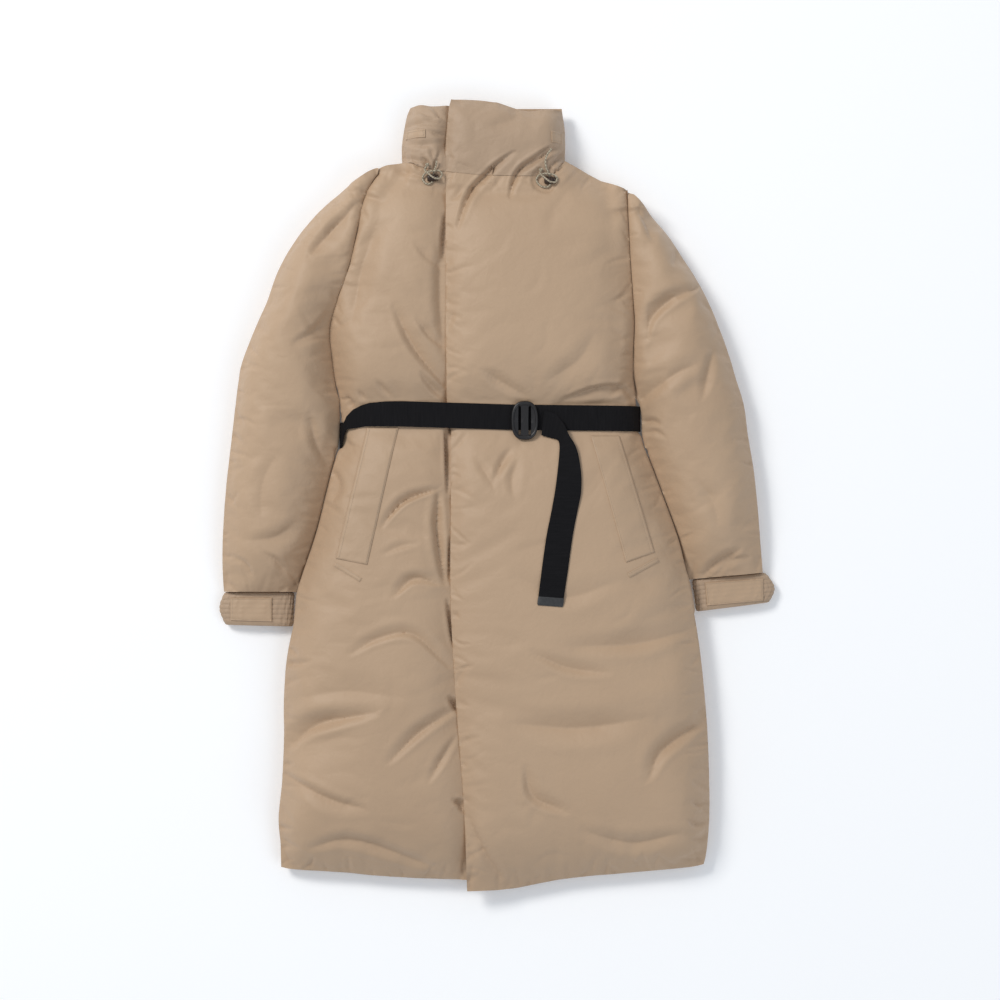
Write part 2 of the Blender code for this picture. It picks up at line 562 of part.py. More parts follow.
def collar_piece(name, neck_xs, top_line, bottom_of, top_of):
    """A stretch of the collar between the neck seam and its upper edge."""
    low, high = [], []
    acrosses = [(x - NECK_RIGHT_X) / NECK_WIDTH for x in neck_xs if at_neck(x)]
    for up in COLLAR_ROWS:
        low.append([])
        high.append([])
        for across in acrosses:
            seam_y = y_at(TOP_LINE, NECK_RIGHT_X + across * NECK_WIDTH) + NECK_GAP
            x_high = mix(COLLAR_RIGHT_SIDE[0].x, COLLAR_LEFT_SIDE[0].x, across)
            y = mix(seam_y, y_at(top_line, x_high), up)
            shared_y = mix(seam_y, y_at(COLLAR_TOP_RIGHT, x_high), up)
            right, left = x_at(COLLAR_RIGHT_SIDE, shared_y), x_at(COLLAR_LEFT_SIDE, shared_y)
            x = mix(mix(right, left, across), NECK_RIGHT_X + across * NECK_WIDTH,
                    max(0.0, 1 - up / COLLAR_ROWS[1]))
            low[-1].append((x, y, bottom_of(across, up)))
            high[-1].append((x, y, top_of(across, up)))
    return slab(name, low, high, "collar_cloth", SHELL_SHADE)


def collar():
    flap = (front_left_xs(0)[0] - NECK_RIGHT_X) / NECK_WIDTH
    end = flap + PLACKET_LAP / NECK_WIDTH

    def sides(across):
        return (rise(across * NECK_WIDTH, COLLAR_ROUND)
                * rise((1 - across) * NECK_WIDTH, COLLAR_ROUND))

    def crown(across, up):
        ends = rise(up + 0.25, 0.45) * rise(1.04 - up, 0.30)
        padded = (COLLAR_CROWN - COLLAR_SEAM) * sides(across) * ends
        return COLLAR_SEAM + SEAM_GAP + max(padded, EDGE_THICK)

    def under(across):
        return (COLLAR_SEAM + SEAM_GAP
                + mix(COLLAR_LAP, EDGE_THICK, ((across - flap) / (end - flap)) ** 2))

    def back_bottom(across, up):
        return (COLLAR_SEAM - EDGE_THICK) * (1 - sides(across) * rise(1.02 - up, 0.20))

    def right_top(across, up):
        return crown(across, up) if (across - flap) * NECK_WIDTH < -0.001 else under(across)

    def left_bottom(across, up):
        if across > end + COLLAR_LAP_STEP:
            return COLLAR_SEAM + SEAM_GAP
        return under(across) + COLLAR_LAP_GAP

    def left_top(across, up):
        bottom = left_bottom(across, up)
        roll = rise((across - flap) * NECK_WIDTH + 0.001, 0.012)
        return max(mix(bottom + FLAP_EDGE, crown(across, up), roll), bottom + EDGE_THICK)

    collar_piece("collar_back", back_xs(0), COLLAR_TOP_RIGHT, back_bottom,
                 lambda across, up: COLLAR_SEAM)
    right = collar_piece("collar_right", front_right_xs(0), COLLAR_TOP_RIGHT,
                         lambda across, up: COLLAR_SEAM + SEAM_GAP, right_top)
    left = collar_piece("collar_left", front_left_xs(0), COLLAR_TOP_LEFT, left_bottom, left_top)
    return right, left


# ---------------------------------------------------------------- cuffs
CUFF_SIDES = 18


def flat_ring(outer, inner, shrink, thick):
    """Points round a flattened oval between the two ends of a cuff."""
    middle, half = (Vector(outer) + Vector(inner)) / 2, (Vector(outer) - Vector(inner)) / 2
    half *= (half.length - shrink) / half.length
    ring = []
    for k in range(CUFF_SIDES):
        turn = math.tau * k / CUFF_SIDES
        along = math.copysign(abs(math.cos(turn)) ** 0.5, math.cos(turn))
        up = math.copysign(abs(math.sin(turn)) ** 0.6, math.sin(turn))
        ring.append((middle.x + half.x * along, middle.y + half.y * along,
                     CUFF_THICK / 2 + thick / 2 * up))
    return ring


def cuff(name, band):
    """A padded band in the round, pressed flat, open at its lower edge and into the sleeve."""
    rings = [flat_ring(outer, inner, 0, CUFF_THICK) for outer, inner in band]
    rings += [flat_ring(outer, inner, CUFF_WALL, CUFF_THICK - 2 * CUFF_WALL)
              for outer, inner in band[::-1]]
    faces = []
    for i in range(len(rings)):
        after = (i + 1) % len(rings)
        for k in range(CUFF_SIDES):
            beside = (k + 1) % CUFF_SIDES
            faces.append((i * CUFF_SIDES + k, i * CUFF_SIDES + beside,
                          after * CUFF_SIDES + beside, after * CUFF_SIDES + k))
    return add_mesh(name, [p for ring in rings for p in ring], faces, "collar_cloth", SHELL_SHADE)


# ---------------------------------------------------------------- trims that lie on the panels
PROBE = 0.006             # how far round a point the cloth below is felt


def surface_of(objects):
    """A function that gives the height of the highest of some objects round a point."""
    trees = []
    for obj in objects:
        mesh = obj.data
        trees.append(BVHTree.FromPolygons([v.co.copy() for v in mesh.vertices],
                                          [tuple(p.vertices) for p in mesh.polygons]))

    def height(x, y, probe=PROBE):
        found = []
        for tree in trees:
            for dx in (-probe, 0.0, probe):
                for dy in (-probe, 0.0, probe):
                    hit = tree.ray_cast(Vector((x + dx, y + dy, 1.0)), Vector((0, 0, -1)))[0]
                    if hit is not None:
                        found.append(hit.z)
        return max(found)

    return height


def lay(name, grid, thick, height, paint_name, colour, clear=2 * SEAM_GAP):
    """A flat trim on the surface below it: a grid of places, moved out by its thickness."""
    low = [[(p.x, p.y, height(p.x, p.y) + clear) for p in row] for row in grid]
    high = [[(x, y, z + thick) for x, y, z in row] for row in low]
    return slab(name, low, high, paint_name, colour)


def trim_grid(trim, rows, columns):
    grid = []
    for i in range(rows):
        down = i / (rows - 1)
        outer = Vector(trim.outer_top).lerp(Vector(trim.outer_bottom), down)
        inner = Vector(trim.inner_top).lerp(Vector(trim.inner_bottom), down)
        grid.append([Point(*outer.lerp(inner, j / (columns - 1))) for j in range(columns)])
    return grid


def strap_grid(stations, rows):
    """Three places across a strap, on rows spread evenly down its stations."""
    keys = [i / (len(stations) - 1) for i in range(len(stations))]
    grid = []
    for i in range(rows):
        ends = [smooth(keys, [getattr(s, c) for s in stations], i / (rows - 1))
                for c in Strap._fields]
        a, b = Vector(ends[:2]), Vector(ends[2:])
        grid.append([Point(*a.lerp(b, t)) for t in (0, 0.5, 1)])
    return grid


# ---------------------------------------------------------------- belt
BELT_STEP = 0.030


def body_row_points(obj, columns, row):
    """The points of one panel on one row of the body, seen along Y."""
    index, count = BODY_ROWS.index(row), len(BODY_ROWS)
    verts = obj.data.vertices
    return [Vector((verts[(skin * count + index) * columns + j].co.x,
                    verts[(skin * count + index) * columns + j].co.z))
            for skin in (0, 1) for j in range(columns)]


def hull(points):
    """Convex outline of some points, anticlockwise, with long stretches cut into steps."""
    ordered = sorted({(round(p.x, 6), round(p.y, 6)) for p in points})

    def half(some):
        chain = []
        for p in some:
            while len(chain) > 1:
                a, b = chain[-2], chain[-1]
                if (b[0] - a[0]) * (p[1] - a[1]) - (b[1] - a[1]) * (p[0] - a[0]) > 0:
                    break
                chain.pop()
            chain.append(p)
        return chain[:-1]

    corners = [Vector(c) for c in half(ordered) + half(ordered[::-1])]
    outline = []
    for a, b in zip(corners, corners[1:] + corners[:1]):
        steps = max(1, math.ceil((b - a).length / BELT_STEP))
        outline += [a.lerp(b, i / steps) for i in range(steps)]
    return outline


def moved_out(outline, distance):
    moved = []
    for i, p in enumerate(outline):
        before, after = outline[i - 1], outline[(i + 1) % len(outline)]
        normals = [Vector((d.y, -d.x)).normalized() for d in (p - before, after - p)]
        moved.append(p + (normals[0] + normals[1]) * distance / (1 + normals[0].dot(normals[1])))
    return moved


def belt(panels):
    """Webbing drawn tight round the waist: the outline of the body's rows, moved out."""
    points = []
    for obj, columns in panels:
        points += body_row_points(obj, columns, 1) + body_row_points(obj, columns, 2)
    outline = hull(points)
    inside, outside = moved_out(outline, BELT_EASE), moved_out(outline, BELT_EASE + BELT_THICK)
    verts, faces = [], []
    for near, far in zip(inside, outside):
        for p, edge in ((near, 1), (far, 1), (far, -1), (near, -1)):
            verts.append((p.x, y_at(BELT_LINE, p.x) + edge * BELT_WIDTH / 2, p.y))
    for i in range(len(outline)):
        after = (i + 1) % len(outline)
        for k in range(4):
            beside = (k + 1) % 4
            faces.append((i * 4 + k, i * 4 + beside, after * 4 + beside, after * 4 + k))
    return add_mesh("belt_strap", verts, faces, "belt_webbing", WEBBING)


def cut(obj, cutter):
    cutter.hide_render = True
    cutter.display_type = "WIRE"
    boolean = obj.modifiers.new("cut", "BOOLEAN")
    boolean.operation = "DIFFERENCE"
    boolean.object = cutter


def buckle(base):
    """The oval slider: a moulded plate with two slots for the webbing."""
    outline = []
    for k in range(28):
        turn = math.tau * k / 28
        shape = [math.copysign(abs(f) ** (2 / BUCKLE_CORNERS), f)
                 for f in (math.cos(turn), math.sin(turn))]
        outline.append((BUCKLE.x + BUCKLE_SIZE[0] / 2 * shape[0],
                        BUCKLE.y + BUCKLE_SIZE[1] / 2 * shape[1]))
    count = len(outline)
    verts = [(x, y, base) for x, y in outline] + [(x, y, base + BUCKLE_SIZE[2]) for x, y in outline]
    faces = [tuple(range(count)), tuple(range(count, 2 * count))]
    faces += [(k, (k + 1) % count, count + (k + 1) % count, count + k) for k in range(count)]
    plate = add_mesh("buckle", verts, faces, "black_plastic", BLACK_PLASTIC)
    for side in (-1, 1):
        x = BUCKLE.x + side * BUCKLE_SLOT_PITCH / 2
        half = (BUCKLE_SLOT[0] / 2, BUCKLE_SLOT[1] / 2, BUCKLE_SIZE[2])
        corners = [(x + i * half[0], BUCKLE.y + j * half[1], base + k * half[2] + half[2] / 2)
                   for k in (-1, 1) for i, j in ((-1, -1), (1, -1), (1, 1), (-1, 1))]
        sides = [(0, 1, 2, 3), (4, 5, 6, 7)]
        sides += [(k, (k + 1) % 4, 4 + (k + 1) % 4, 4 + k) for k in range(4)]
        cut(plate, add_mesh("slot_cutter_%d" % side, corners, sides, "black_plastic",
                            BLACK_PLASTIC))
    return plate


# ---------------------------------------------------------------- drawcord ends
CORD_STEP = 2 * CORD_DIAMETER


def smooth_route(route):
    """Points every CORD_STEP along a smooth curve through the route's own points."""
    lengths = [0.0]
    for a, b in zip(route, route[1:]):
        lengths.append(lengths[-1] + (Vector(b) - Vector(a)).length)
    steps = round(lengths[-1] / CORD_STEP)
    return [Vector([smooth(lengths, [p[axis] for p in route], lengths[-1] * i / steps)
                    for axis in range(3)]) for i in range(steps + 1)]


def cord(name, route):
    curve = bpy.data.curves.new(name, "CURVE")
    curve.dimensions = "3D"
    curve.bevel_depth = CORD_DIAMETER / 2
    curve.bevel_resolution = 2
    curve.use_fill_caps = True
    points = smooth_route(route)
    spline = curve.splines.new("POLY")
    spline.points.add(len(points) - 1)
    for place, point in zip(spline.points, points):
        place.co = (*point, 1)
    obj = bpy.data.objects.new(name, curve)
    bpy.context.scene.collection.objects.link(obj)
    paint(obj, "cord_cloth", CORD_CLOTH)


def turned(name, profile, sides, centre, axis, paint_name, colour):
    """A solid of revolution about an axis: (place along it, radius) pairs, with pointed ends."""
    turn = Vector((0, 0, 1)).rotation_difference(axis)
    inner = profile[1:-1]
    verts = [Vector((0, 0, profile[0][0])), Vector((0, 0, profile[-1][0]))]
    for along, radius in inner:
        for k in range(sides):
            angle = math.tau * k / sides
            verts.append(Vector((radius * math.cos(angle), radius * math.sin(angle), along)))
    faces = []
    for k in range(sides):
        beside = (k + 1) % sides
        last = 2 + (len(inner) - 1) * sides
        faces.append((0, 2 + beside, 2 + k))
        faces.append((1, last + k, last + beside))
        for i in range(len(inner) - 1):
            ring = 2 + i * sides
            faces.append((ring + k, ring + beside, ring + sides + beside, ring + sides + k))
    return add_mesh(name, [centre + turn @ v for v in verts], faces, paint_name, colour)


def drawcord_end(side, route, lock_at):
    cord("drawcord_%s" % side, route)
    before, centre, after = (Vector(route[lock_at + i]) for i in (-1, 0, 1))
    half = LOCK_LENGTH / 2
    barrel = [(-half, 0), (-half, 0.6 * LOCK_RADIUS), (-0.75 * half, LOCK_RADIUS),
              (0.75 * half, LOCK_RADIUS), (half, 0.6 * LOCK_RADIUS), (half, 0)]
    lock = turned("cord_lock_%s" % side, barrel, 12, centre, Vector((1, 0, 0)), "lock_plastic",
                  LOCK_PLASTIC)
    reach = 2 * LOCK_RADIUS
    bore = [(-reach, 0), (-reach, LOCK_HOLE), (reach, LOCK_HOLE), (reach, 0)]
    cut(lock, turned("lock_bore_%s" % side, bore, 10, centre, after - before, "lock_plastic",
                     LOCK_PLASTIC))
    end = Vector(route[-1])
    way = (end - Vector(route[-2])).normalized()
    knot = [(math.sin(t) * KNOT_RADIUS, math.cos(t) * KNOT_RADIUS)
            for t in (math.pi * (i / 6 - 0.5) for i in range(7))]
    turned("cord_knot_%s" % side, knot, 10, end + way * (KNOT_RADIUS + SEAM_GAP), way,
           "cord_cloth", CORD_CLOTH)


# ---------------------------------------------------------------- the coat
for old in list(bpy.data.objects):
    bpy.data.objects.remove(old, do_unlink=True)

back = back_panel()
front_right = front_right_panel()
front_left = front_left_panel()
sleeve("right", RIGHT_SIDE, RIGHT_SLEEVE_OUTER, RIGHT_SLEEVE_INNER, -1)
sleeve("left", LEFT_SIDE, LEFT_SLEEVE_OUTER, LEFT_SLEEVE_INNER, 1)
collar_right, collar_left = collar()
cuff_right = cuff("cuff_right", CUFF_RIGHT)
cuff_left = cuff("cuff_left", CUFF_LEFT)

waist = [(back, len(BACK_COLUMNS)), (front_right, len(front_right_xs(1))),
         (front_left, len(front_left_xs(1)))]
strap = belt(waist)
over_waist = surface_of([front_left, strap])
buckle(max(over_waist(BUCKLE.x + i * 0.017, BUCKLE.y + j * 0.026)
           for i in (-1, 0, 1) for j in (-1, 0, 1)) + SEAM_GAP)
lay("belt_tail", strap_grid(TAIL, 24), BELT_THICK, over_waist, "belt_webbing", WEBBING, 0.0010)
lay("belt_tip", strap_grid(TIP, 2), TIP_THICK, over_waist, "grey_tip", GREY_TIP)

over_right, over_left = surface_of([front_right]), surface_of([front_left])
lay("pocket_welt_right", trim_grid(WELT_RIGHT, 13, 3), WELT_THICK, over_right, "trim_cloth",
    TRIM_CLOTH)
lay("pocket_welt_left", trim_grid(WELT_LEFT, 13, 3), WELT_THICK, over_left, "trim_cloth",
    TRIM_CLOTH)
lay("pocket_bar_right", trim_grid(BAR_RIGHT, 2, 5), TAB_THICK, over_right, "trim_cloth",
    TRIM_CLOTH)
lay("pocket_bar_left", trim_grid(BAR_LEFT, 2, 5), TAB_THICK, over_left, "trim_cloth",
    TRIM_CLOTH)
lay("cuff_tab_right", trim_grid(CUFF_TAB_RIGHT, 3, 5), TAB_THICK, surface_of([cuff_right]),
    "trim_cloth", TRIM_CLOTH)
lay("cuff_tab_left", trim_grid(CUFF_TAB_LEFT, 3, 5), TAB_THICK, surface_of([cuff_left]),
    "trim_cloth", TRIM_CLOTH)
lay("collar_tab_right", trim_grid(COLLAR_TAB_RIGHT, 2, 4), TAB_THICK, surface_of([collar_right]),
    "trim_cloth", TRIM_CLOTH)
lay("collar_tab_left", trim_grid(COLLAR_TAB_LEFT, 2, 3), TAB_THICK, surface_of([collar_left]),
    "trim_cloth", TRIM_CLOTH)
drawcord_end("right", CORD_RIGHT, LOCK_AT_RIGHT)
drawcord_end("left", CORD_LEFT, LOCK_AT_LEFT)
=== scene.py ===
import math
from collections import namedtuple

import bmesh
import bpy
import numpy as np
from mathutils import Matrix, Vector, geometry
from mathutils.bvhtree import BVHTree
from mathutils.kdtree import KDTree


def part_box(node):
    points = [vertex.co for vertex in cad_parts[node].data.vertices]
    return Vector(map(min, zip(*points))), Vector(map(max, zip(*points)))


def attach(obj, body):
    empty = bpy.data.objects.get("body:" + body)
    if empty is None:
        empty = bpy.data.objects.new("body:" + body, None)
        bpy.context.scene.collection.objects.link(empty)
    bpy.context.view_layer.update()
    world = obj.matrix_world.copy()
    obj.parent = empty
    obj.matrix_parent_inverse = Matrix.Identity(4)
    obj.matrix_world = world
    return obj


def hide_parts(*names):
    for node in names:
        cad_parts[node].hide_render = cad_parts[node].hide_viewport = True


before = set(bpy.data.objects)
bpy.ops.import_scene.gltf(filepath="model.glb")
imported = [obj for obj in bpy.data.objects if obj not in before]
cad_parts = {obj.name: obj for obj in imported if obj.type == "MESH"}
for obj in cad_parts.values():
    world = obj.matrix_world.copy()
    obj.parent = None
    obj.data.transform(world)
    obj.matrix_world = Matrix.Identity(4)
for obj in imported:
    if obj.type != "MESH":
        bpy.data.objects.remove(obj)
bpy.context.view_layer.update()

# ---------------------------------------------------------------- the table and the light
# The coat lies on its back on a white table.  It is looked at from straight above, from the
# height of a copy stand, with its hem at the bottom and soft daylight from its upper left.
SCENE = bpy.context.scene
SCENE.view_settings.view_transform = "Standard"

STAND_HEIGHT = 4.0
STAND_OVER = (0.0045, -0.006)
stand = bpy.data.objects.new("copy_stand", bpy.data.cameras.new("copy_stand"))
stand.location = (STAND_OVER[0], STAND_OVER[1], STAND_HEIGHT)
stand.data.lens = 95.0
stand.data.sensor_width = 36.0
SCENE.collection.objects.link(stand)
SCENE.camera = stand


def finish_of(name):
    """A new material's node tree and its shader."""
    material = bpy.data.materials.new(name)
    material.use_nodes = True
    return material, material.node_tree, material.node_tree.nodes["Principled BSDF"]


def daylight(name, place, size, watts, colour):
    """A square soft light that faces the coat's middle."""
    lamp = bpy.data.lights.new(name, "AREA")
    lamp.size = size
    lamp.energy = watts
    lamp.color = colour
    obj = bpy.data.objects.new(name, lamp)
    obj.location = place
    obj.rotation_euler = (-Vector(place)).to_track_quat("-Z", "Y").to_euler()
    SCENE.collection.objects.link(obj)


daylight("window", place=(-3.5, 3.2, 4.5), size=1.9, watts=240.0, colour=(1.0, 0.98, 0.95))
daylight("opposite_wall", place=(3.4, -2.6, 4.4), size=4.0, watts=62.0, colour=(0.88, 0.93, 1.0))
sky = bpy.data.worlds.new("room")
sky.use_nodes = True
sky.node_tree.nodes["Background"].inputs["Color"].default_value = (0.86, 0.92, 1.0, 1.0)
sky.node_tree.nodes["Background"].inputs["Strength"].default_value = 0.54
SCENE.world = sky

TABLE_HALF = 6.0
table = bpy.data.meshes.new("table_top")
table.from_pydata([(-TABLE_HALF, -TABLE_HALF, 0), (TABLE_HALF, -TABLE_HALF, 0),
                   (TABLE_HALF, TABLE_HALF, 0), (-TABLE_HALF, TABLE_HALF, 0)], [], [(0, 1, 2, 3)])
table_top = bpy.data.objects.new("table_top", table)
SCENE.collection.objects.link(table_top)
table_paint, _, table_shader = finish_of("white_table")
table_shader.inputs["Base Color"].default_value = (0.97, 0.97, 0.97, 1.0)
table_shader.inputs["Roughness"].default_value = 0.8
table_shader.inputs["Emission Color"].default_value = (1.0, 1.0, 1.0, 1.0)
table_shader.inputs["Emission Strength"].default_value = 0.07
table.materials.append(table_paint)


# ---------------------------------------------------------------- drawcords of the collar
# Round elastic cord with a braided cover.  Each end comes out of the collar's tunnel, runs
# through a sprung cord lock, lies in a loose loop and is finished with an overhand knot.
CORD_DIAMETER = 0.0028
CORD_SIDES = 12
CORD_STEP = 0.0009
CORD_RIGHT = [(-0.0900, 0.4995, 0.0702), (-0.0905, 0.4935, 0.0695), (-0.0928, 0.4870, 0.0680),
              (-0.0945, 0.4810, 0.0665), (-0.0955, 0.4745, 0.0655), (-0.0965, 0.4685, 0.0652),
              (-0.1015, 0.4652, 0.0656), (-0.1080, 0.4672, 0.0655), (-0.1108, 0.4735, 0.0652),
              (-0.1080, 0.4800, 0.0668), (-0.1010, 0.4832, 0.0705), (-0.0930, 0.4842, 0.0710),
              (-0.0860, 0.4845, 0.0692), (-0.0822, 0.4800, 0.0680), (-0.0840, 0.4745, 0.0708),
              (-0.0895, 0.4722, 0.0732), (-0.0970, 0.4755, 0.0736), (-0.1030, 0.4805, 0.0728),
              (-0.1072, 0.4848, 0.0705), (-0.1068, 0.4885, 0.0692), (-0.1050, 0.4905, 0.0692)]
CORD_LEFT = [(0.0810, 0.5175, 0.0692), (0.0750, 0.5085, 0.0706), (0.0720, 0.4995, 0.0704),
             (0.0730, 0.4905, 0.0702), (0.0760, 0.4820, 0.0690), (0.0785, 0.4760, 0.0676),
             (0.0790, 0.4705, 0.0668), (0.0790, 0.4645, 0.0662), (0.0745, 0.4605, 0.0668),
             (0.0670, 0.4615, 0.0664), (0.0605, 0.4665, 0.0652), (0.0590, 0.4735, 0.0652),
             (0.0635, 0.4785, 0.0675), (0.0705, 0.4800, 0.0715), (0.0785, 0.4795, 0.0728),
             (0.0860, 0.4775, 0.0712), (0.0895, 0.4725, 0.0700), (0.0868, 0.4675, 0.0722),
             (0.0805, 0.4672, 0.0745), (0.0735, 0.4715, 0.0746), (0.0675, 0.4765, 0.0730),
             (0.0648, 0.4805, 0.0706), (0.0645, 0.4830, 0.0694)]
LOCK_AT = {"right": 4, "left": 6}
LOCK_RADIUS = 0.0055
LOCK_LENGTH = 0.0170
LOCK_SIDES = 28
# The collar round each mouth of the lock: how far it stands out, its radius.
MOUTH = ((-0.0006, 0.0024), (0.0002, 0.0024), (0.0005, 0.0022), (0.0006, 0.0019))
MOUTH_SIDES = 20
KNOT_REACH = 0.0030
KNOT_CORD_RADIUS = 0.00125          # the cord is drawn thinner where it is knotted
KNOT_POINTS = 90


def curve_through(places, step):
    """Points every step along a smooth curve through some places, in any number of columns."""
    places = np.asarray(places, float)
    ends = np.vstack([2 * places[0] - places[1], places, 2 * places[-1] - places[-2]])
    fine = [places[0]]
    for a, b, c, d in zip(ends, ends[1:], ends[2:], ends[3:]):
        count = max(1, int(round(np.linalg.norm((c - b)[:3]) / step)))
        for k in range(1, count + 1):
            t = k / count
            fine.append(0.5 * (2 * b + (c - a) * t + (2 * a - 5 * b + 4 * c - d) * t * t
                               + (3 * b - a - 3 * c + d) * t**3))
    return np.array(fine)


def length_of(line):
    """A line's whole length."""
    return float(np.linalg.norm(np.diff(line, axis=0), axis=1).sum())


def gone_along(line):
    """How far along a line each of its points is."""
    return np.concatenate([[0], np.cumsum(np.linalg.norm(np.diff(line, axis=0), axis=1))])


def read_off(marks, gone, line):
    """The line's columns at some distances along it."""
    return np.stack([np.interp(marks, gone, column) for column in line.T], axis=1)


def grid_faces(rows, columns, closed):
    """Quads between rows of points; closed rows meet themselves."""
    made = []
    for r in range(rows - 1):
        for c in range(columns if closed else columns - 1):
            d = (c + 1) % columns
            made.append((r * columns + c, r * columns + d, (r + 1) * columns + d,
                         (r + 1) * columns + c))
    return made


def add_shell(points, faces, more, skin):
    """Another shell's points and faces put behind those that are there."""
    faces += [tuple(i + len(points) for i in f) for f in skin]
    points += more


def piece_from(name, points, faces, paint, replaces=(), sharp=None):
    """A smooth-shaded mesh piece that stands for some of the frame's nodes."""
    mesh = bpy.data.meshes.new(name)
    mesh.from_pydata([tuple(p) for p in points], [], [tuple(int(i) for i in f) for f in faces])
    mesh.materials.append(paint)
    mesh.shade_smooth()
    if sharp:
        mesh.set_sharp_from_angle(angle=math.radians(sharp))
    piece = bpy.data.objects.new(name, mesh)
    SCENE.collection.objects.link(piece)
    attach(piece, "root")
    if replaces:
        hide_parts(*replaces)
    return piece


def tube_rings(line, radii, sides):
    """Points and faces of a closed round tube along a line, without twist."""
    along = np.gradient(line, axis=0)
    along /= np.linalg.norm(along, axis=1)[:, None]
    side = np.cross(along[0], (0.0, 0.0, 1.0))
    points = []
    angles = np.arange(sides) * 2 * math.pi / sides
    for here, ahead, radius in zip(line, along, radii):
        side = side - ahead * side.dot(ahead)
        side /= np.linalg.norm(side)
        up = np.cross(side, ahead)
        points += [here + radius * (math.cos(a) * side + math.sin(a) * up) for a in angles]
    faces = grid_faces(len(line), sides, closed=True)
    last = (len(line) - 1) * sides
    faces.append(tuple(range(sides))[::-1])
    faces.append(tuple(last + k for k in range(sides)))
    return points, faces


def wave_of(tree, place, direction, scale, distortion=0.0):
    """A wave texture's height node; direction is X, Y, Z or DIAGONAL."""
    wave = tree.nodes.new("ShaderNodeTexWave")
    wave.bands_direction = direction
    wave.inputs["Scale"].default_value = scale
    wave.inputs["Distortion"].default_value = distortion
    tree.links.new(place, wave.inputs["Vector"])
    return wave


def noise_of(tree, place, scale, detail=2.0, roughness=0.5, distortion=0.0):
    """A noise texture's node."""
    noise = tree.nodes.new("ShaderNodeTexNoise")
    noise.inputs["Scale"].default_value = scale
    noise.inputs["Detail"].default_value = detail
    noise.inputs["Roughness"].default_value = roughness
    noise.inputs["Distortion"].default_value = distortion
    tree.links.new(place, noise.inputs["Vector"])
    return noise


def sum_of(tree, a, b, weight_a, weight_b):
    """weight_a * a + weight_b * b, as a node's output."""
    first = tree.nodes.new("ShaderNodeMath")
    first.operation = "MULTIPLY"
    first.inputs[1].default_value = weight_a
    tree.links.new(a, first.inputs[0])
    second = tree.nodes.new("ShaderNodeMath")
    second.operation = "MULTIPLY_ADD"
    second.inputs[1].default_value = weight_b
    tree.links.new(b, second.inputs[0])
    tree.links.new(first.outputs[0], second.inputs[2])
    return second.outputs[0]


def raised_by(tree, shader, height, distance, strength):
    """A fine relief from a height, for what is too small for the mesh."""
    bump = tree.nodes.new("ShaderNodeBump")
    bump.inputs["Distance"].default_value = distance
    bump.inputs["Strength"].default_value = strength
    tree.links.new(height, bump.inputs["Height"])
    tree.links.new(bump.outputs["Normal"], shader.inputs["Normal"])


def tinted(tree, shader, mask, dark, light, low=0.3, high=0.7):
    """The base colour runs from dark to light with a mask."""
    ramp = tree.nodes.new("ShaderNodeValToRGB")
    ramp.color_ramp.elements[0].position = low
    ramp.color_ramp.elements[0].color = (*dark, 1.0)
    ramp.color_ramp.elements[1].position = high
    ramp.color_ramp.elements[1].color = (*light, 1.0)
    tree.links.new(mask, ramp.inputs["Fac"])
    tree.links.new(ramp.outputs["Color"], shader.inputs["Base Color"])


def braid_finish():
    """Beige polyester braid: two sets of strands that cross at a slant, with painted shade in the
    grooves between them.
    """
    material, tree, shader = finish_of("beige_braid")
    place = tree.nodes.new("ShaderNodeTexCoord").outputs["Object"]
    first = wave_of(tree, place, "DIAGONAL", 120.0)
    turn = tree.nodes.new("ShaderNodeMapping")
    turn.inputs["Rotation"].default_value = (0.0, 0.0, math.pi / 2)
    tree.links.new(place, turn.inputs["Vector"])
    second = wave_of(tree, turn.outputs["Vector"], "DIAGONAL", 120.0)
    strands = sum_of(tree, first.outputs["Fac"], second.outputs["Fac"], 0.5, 0.5)
    # The colour follows the strands' relief: darker where it is low, which is painted shade in the
    # grooves between the strands.
    tinted(tree, shader, strands, (0.20, 0.16, 0.105), (0.47, 0.40, 0.285), 0.15, 0.80)
    raised_by(tree, shader, strands, 0.0004, 0.8)
    shader.inputs["Roughness"].default_value = 0.72
    shader.inputs["Sheen Weight"].default_value = 0.25
    return material


def lock_finish():
    """Dark brown moulded nylon with a fine spark texture."""
    material, tree, shader = finish_of("brown_lock_plastic")
    place = tree.nodes.new("ShaderNodeTexCoord").outputs["Object"]
    grain = noise_of(tree, place, 2400.0, 2.0)
    tinted(tree, shader, noise_of(tree, place, 160.0).outputs["Fac"],
           (0.030, 0.016, 0.010), (0.050, 0.026, 0.016))
    raised_by(tree, shader, grain.outputs["Fac"], 0.0001, 0.4)
    shader.inputs["Roughness"].default_value = 0.38
    return material


def turned_on_x(profile, sides, centre):
    """A body turned about a line along X; the profile gives (place along it, radius)."""
    points = []
    for along, radius in profile:
        for k in range(sides):
            a = 2 * math.pi * k / sides
            points.append((centre[0] + along, centre[1] + radius * math.cos(a),
                           centre[2] + radius * math.sin(a)))
    faces = [(a, d, c, b) for a, b, c, d in grid_faces(len(profile), sides, closed=True)]
    last = (len(profile) - 1) * sides
    faces.append(tuple(range(sides)))
    faces.append(tuple(last + k for k in range(sides))[::-1])
    return points, faces


# Barrel of the lock from its closed end to the button: (share of the length, share of the radius).
BARREL = ((-0.50, 0.45), (-0.49, 0.70), (-0.46, 0.88), (-0.42, 0.97), (-0.36, 1.00), (-0.20, 1.00),
          (-0.18, 0.93), (-0.15, 0.93), (-0.13, 1.00), (0.00, 1.00), (0.02, 0.93), (0.05, 0.93),
          (0.07, 1.00), (0.20, 1.00), (0.23, 0.97), (0.25, 0.90), (0.26, 0.68), (0.27, 0.66),
          (0.36, 0.66), (0.37, 0.80), (0.40, 0.84), (0.45, 0.82), (0.48, 0.72), (0.50, 0.45))
BRAID = braid_finish()
LOCK_PLASTIC = lock_finish()


